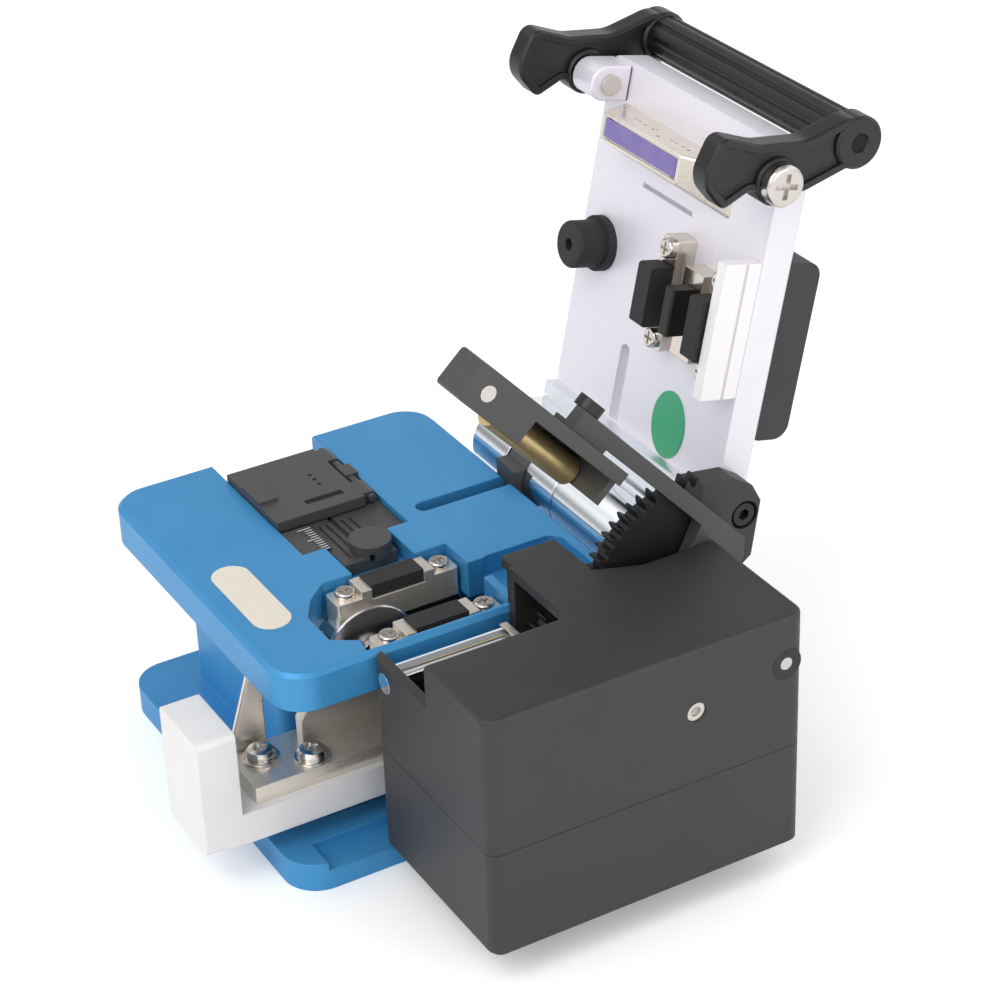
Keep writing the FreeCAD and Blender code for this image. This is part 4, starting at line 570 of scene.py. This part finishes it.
def handle(plastic, shadow):
    """Bail handle: two dished arms with rounded hooks, their bosses, and a fluted grip between. The
    grip's radius dips eight times round it, by a raised cosine to the fifth power."""
    corners = [(-8.3, -13.5), (0.2, -16.1), (5.0, -10.4), (1.5, -5.2), (4.2, -0.6), (1.7, 7.2), (-1.9, 14.6),
               (-3.0, 19.4), (-10.9, 19.2), (-11.3, 13.4), (-7.3, 4.6), (-6.7, -5.0)]
    radii = [2.4, 5.0, 1.6, 1.7, 3.4, 5.0, 4.0, 3.6, 3.6, 5.0, 8.0, 8.0]
    pivot = np.array([-HANDLE_OUT, HANDLE_UP])
    ring = rounded(corners, radii, 9) + pivot
    grip = pivot + GRIP_FROM_PIVOT

    def placed(stack):
        """Open place of points given as (x, y from the hinge, up) on the shut lid."""
        return from_lid(stack * [1.0, -1.0, 1.0])

    arms = (("handle_arm_left", -23.9, -18.9, 1), ("handle_arm_right", 38.4, 43.4, -1))
    for name, x0, x1, inward in arms:
        arm = pressed(ring, x0 + ARM_GAP, x1 - ARM_GAP, edge=0.45, rim=1.5, dip=0.8)
        skin(name, placed(arm), plastic, "handle")
        outer, inner = (x0, x1) if inward > 0 else (x1, x0)
        boss = turned([(inner, 4.0), (inner - 0.4 * inward, 4.4), (outer + 0.4 * inward, 4.4), (outer, 4.0)],
                      (0.0, *pivot), 0)
        skin(name + "_boss", placed(boss), plastic, "handle")
        cup = turned([(inner, 4.4), (inner - 0.5 * inward, 4.9), (outer + 0.5 * inward, 4.9), (outer, 4.4),
                      (outer, 1.9), (outer + 0.3 * inward, 1.7), (outer + 3.8 * inward, 1.6)],
                     (0.0, *grip), 0)
        skin(name + "_cup", placed(cup), plastic, "handle")
        # Painted shade: a near-black disc just inside each end of the grip stands for the unlit depth of its
        # hole.
        painted_bore_shade = turned([(outer + 0.3 * inward, 1.69), (outer + 0.4 * inward, 1.69)], (0.0, *grip), 0)
        skin(name + "_bore", placed(painted_bore_shade), shadow, "handle")
    angle = np.linspace(0.0, 2 * np.pi, GRIP_STEPS, endpoint=False)
    radius = GRIP_R - FLUTE_DEPTH * (0.5 + 0.5 * np.cos(FLUTES * angle)) ** 5
    places = np.array([-19.4, -18.6, 38.1, 38.9])       # its ends run into both arms
    bar = np.stack(np.broadcast_arrays(places[:, None], grip[0] + radius * np.cos(angle),
                                       grip[1] + radius * np.sin(angle)), axis=-1)
    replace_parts(skin("handle_grip", placed(bar), plastic, "handle"), "handle")


def grommet(plastic):
    """Black ring in the bin's wall that leaves only the middle of the rod's end in view."""
    rows = [(ROD_END_X, 1.2), (BIN_FACE_X, 1.3), (BIN_FACE_X, 3.0), (ROD_END_X + 0.02, 3.05),
            (ROD_END_X, 1.25)]
    stack = turned(rows, HINGE, 0) * MM
    quads = ring_quads(len(rows), TURN_STEPS)[:, ::-1]
    add_piece("rod_grommet", stack.reshape(-1, 3), quads.tolist(), plastic, "base")


def carrier_parts(steel, nickel):
    """Low pan screws with washers and a four-lobed recess, and the gusset beside them."""
    rows = [(20.02, 3.4), (20.5, 3.5), (20.6, 3.35), (20.62, 2.8), (21.5, 2.8), (22.1, 2.3), (22.35, 1.4),
            (22.35, 1.0), (21.7, 0.7)]
    for k, (x, y) in enumerate(CARRIER_SCREWS):
        stack = turned(rows, (x, y, 0.0), 2, lobes=0.3, lobed_from=7)
        screw = skin(f"carrier_screw_{k + 1}", stack, steel, "slider")
        if k == 0:
            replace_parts(screw, "carrier_screws")
    gusset = rounded([(-36.6, 20.0), (-28.9, 20.0), (-28.9, 37.5), (-31.0, 37.5)], [0.3, 0.3, 0.5, 0.8])
    skin("carrier_gusset", pressed(gusset, 15.9, 17.1, 0.25), nickel, "slider")


def plates(boxes):
    """Thin bricks, one for each (low corner, high corner): corners by the eight sign choices."""
    low = np.array([b[0] for b in boxes])[:, None, :]
    high = np.array([b[1] for b in boxes])[:, None, :]
    signs = np.array([[x, y, z] for x in (0, 1) for y in (0, 1) for z in (0, 1)])[None]
    points = (low + (high - low) * signs).reshape(-1, 3)
    sides = np.array([[0, 1, 3, 2], [4, 6, 7, 5], [0, 4, 5, 1], [2, 3, 7, 6], [0, 2, 6, 4], [1, 5, 7, 3]])
    faces = (sides[None] + 8 * np.arange(len(boxes))[:, None, None]).reshape(-1, 4)
    return points, faces


def ruler_marks(material):
    """White strokes across the ruler: even steps along X, every fifth one longer."""
    low, high = (np.array(corner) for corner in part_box("ruler_strip"))
    step = np.arange(RULER_STROKES)
    left = low[0] + (RULER_START + step * RULER_STEP) * MM
    reach = np.where(step % LONG_EVERY == 0, STROKE_LONG, STROKE_SHORT) * MM
    near = np.full(RULER_STROKES, high[1] - STROKE_IN * MM)
    under = np.full(RULER_STROKES, high[2] - STROKE_SUNK * MM)
    starts = np.column_stack([left, near - reach, under])
    ends = np.column_stack([left + STROKE_W * MM, near, under + STROKE_T * MM])
    points, faces = plates(list(zip(starts, ends)))
    add_piece("ruler_marks", points, faces.tolist(), material, "base")


# ---- studio ----------------------------------------------------------------------------------
CAMERA_AT = np.array([407.61, -194.09, 315.23]) * MM
CAMERA_TURN = 61.07         # degrees from looking along +Y
CAMERA_RISE = 30.24         # degrees above the floor
CAMERA_ROLL = -2.26         # degrees
CAMERA_LENS = 100.83        # on a 36 mm sensor
AMBIENT = 0.92              # light of the white room
FLOOR_GLOW = 0.16           # lifts the floor to white for the camera and keeps the shadow
PART_MIDDLE = (0.0, 0.0, 0.04)
FLOOR_HALF = 3.0
FLOOR_DROP = 0.02 * MM      # below the foot, so that the two faces don't meet


def studio_camera():
    """Camera whose axes come from its turn, rise and roll."""
    turn, rise, roll = np.radians([CAMERA_TURN, CAMERA_RISE, CAMERA_ROLL])
    ahead = np.array([-np.sin(turn) * np.cos(rise), np.cos(turn) * np.cos(rise), -np.sin(rise)])
    level = np.array([np.cos(turn), np.sin(turn), 0.0])
    right = np.cos(roll) * level + np.sin(roll) * np.cross(level, ahead)
    axes = np.eye(4)
    axes[:3, 0] = right
    axes[:3, 1] = np.cross(right, ahead)
    axes[:3, 2] = -ahead
    axes[:3, 3] = CAMERA_AT
    data = bpy.data.cameras.new("camera")
    data.lens = CAMERA_LENS
    data.sensor_width = 36.0
    data.clip_start = 0.01
    camera = bpy.data.objects.new("camera", data)
    camera.matrix_world = Matrix(axes.tolist())
    bpy.context.scene.collection.objects.link(camera)
    bpy.context.scene.camera = camera


def soft_lamp(name, place, aim, size, power):
    """Square soft box at a place, facing a point."""
    data = bpy.data.lights.new(name, "AREA")
    data.size = size
    data.energy = power
    lamp = bpy.data.objects.new(name, data)
    away = np.array(place) - np.array(aim)
    away = away / np.linalg.norm(away)
    side = np.cross([0.0, 0.0, 1.0], away)
    side = side / np.linalg.norm(side)
    axes = np.eye(4)
    axes[:3, 0] = side
    axes[:3, 1] = np.cross(away, side)
    axes[:3, 2] = away
    axes[:3, 3] = place
    lamp.matrix_world = Matrix(axes.tolist())
    bpy.context.scene.collection.objects.link(lamp)


def pale_floor():
    """White sweep under the part."""
    corners = np.array([[-1, -1, 0], [1, -1, 0], [1, 1, 0], [-1, 1, 0]]) * FLOOR_HALF
    mesh = bpy.data.meshes.new("floor")
    mesh.from_pydata((corners - [0, 0, FLOOR_DROP]).tolist(), [], [[0, 1, 2, 3]])
    paint = Paint("floor_white")
    cloud = paint.noise(400, 2)
    base = paint.mix(cloud, (0.93, 0.93, 0.93, 1.0), (0.95, 0.95, 0.95, 1.0))
    seen = Value(paint, paint.node("ShaderNodeLightPath").outputs["Is Camera Ray"])
    paint.feed(paint.shader, {"Base Color": base, "Roughness": 0.9, "Specular IOR Level": 0.0,
                              "Emission Color": paint.mix(seen, (0, 0, 0, 1), (1, 1, 1, 1)),
                              "Emission Strength": FLOOR_GLOW})
    mesh.materials.append(paint.material)
    floor = bpy.data.objects.new("floor", mesh)
    bpy.context.scene.collection.objects.link(floor)


def studio_world():
    """White room: even light, with darker panels that only polished metal sees."""
    world = bpy.data.worlds.new("studio")
    bpy.context.scene.world = world
    world.use_nodes = True
    room = Nodes(world.node_tree)
    way = room.node("ShaderNodeTexCoord").outputs["Generated"]
    panel = room.node("ShaderNodeTexNoise", {}, {"Vector": way, "Scale": 1.5, "Detail": 0.5}).outputs[0]
    grey = room.ramp(panel, [(0.36, 0.3), (0.46, 0.95), (0.56, 1.3)])
    rays = room.node("ShaderNodeLightPath").outputs
    seen = room.mix(rays["Is Glossy Ray"], (AMBIENT, AMBIENT, AMBIENT, 1.0), grey)
    seen = room.mix(rays["Is Camera Ray"], seen, (1.0, 1.0, 1.0, 1.0))
    back = room.node("ShaderNodeBackground", {}, {"Color": seen, "Strength": 1.0})
    room.node("ShaderNodeOutputWorld", {}, {"Surface": back.outputs[0]})


bpy.context.scene.view_settings.view_transform = "Standard"
finished = dress_cad()
ruler_marks(white_print())
keeper(finished["silver_anodised"], finished["satin_nickel"], finished["violet_glass"], dark_ink())
handle(finished["moulded_black"], deep_shadow())
grommet(finished["moulded_black"])
carrier_parts(finished["bright_steel"], finished["satin_nickel"])
studio_camera()
studio_world()
pale_floor()
soft_lamp("key_lamp", (0.25, -0.55, 0.75), aim=PART_MIDDLE, size=0.6, power=3.0)
soft_lamp("side_lamp", (0.75, 0.25, 0.35), aim=PART_MIDDLE, size=0.5, power=1.2)
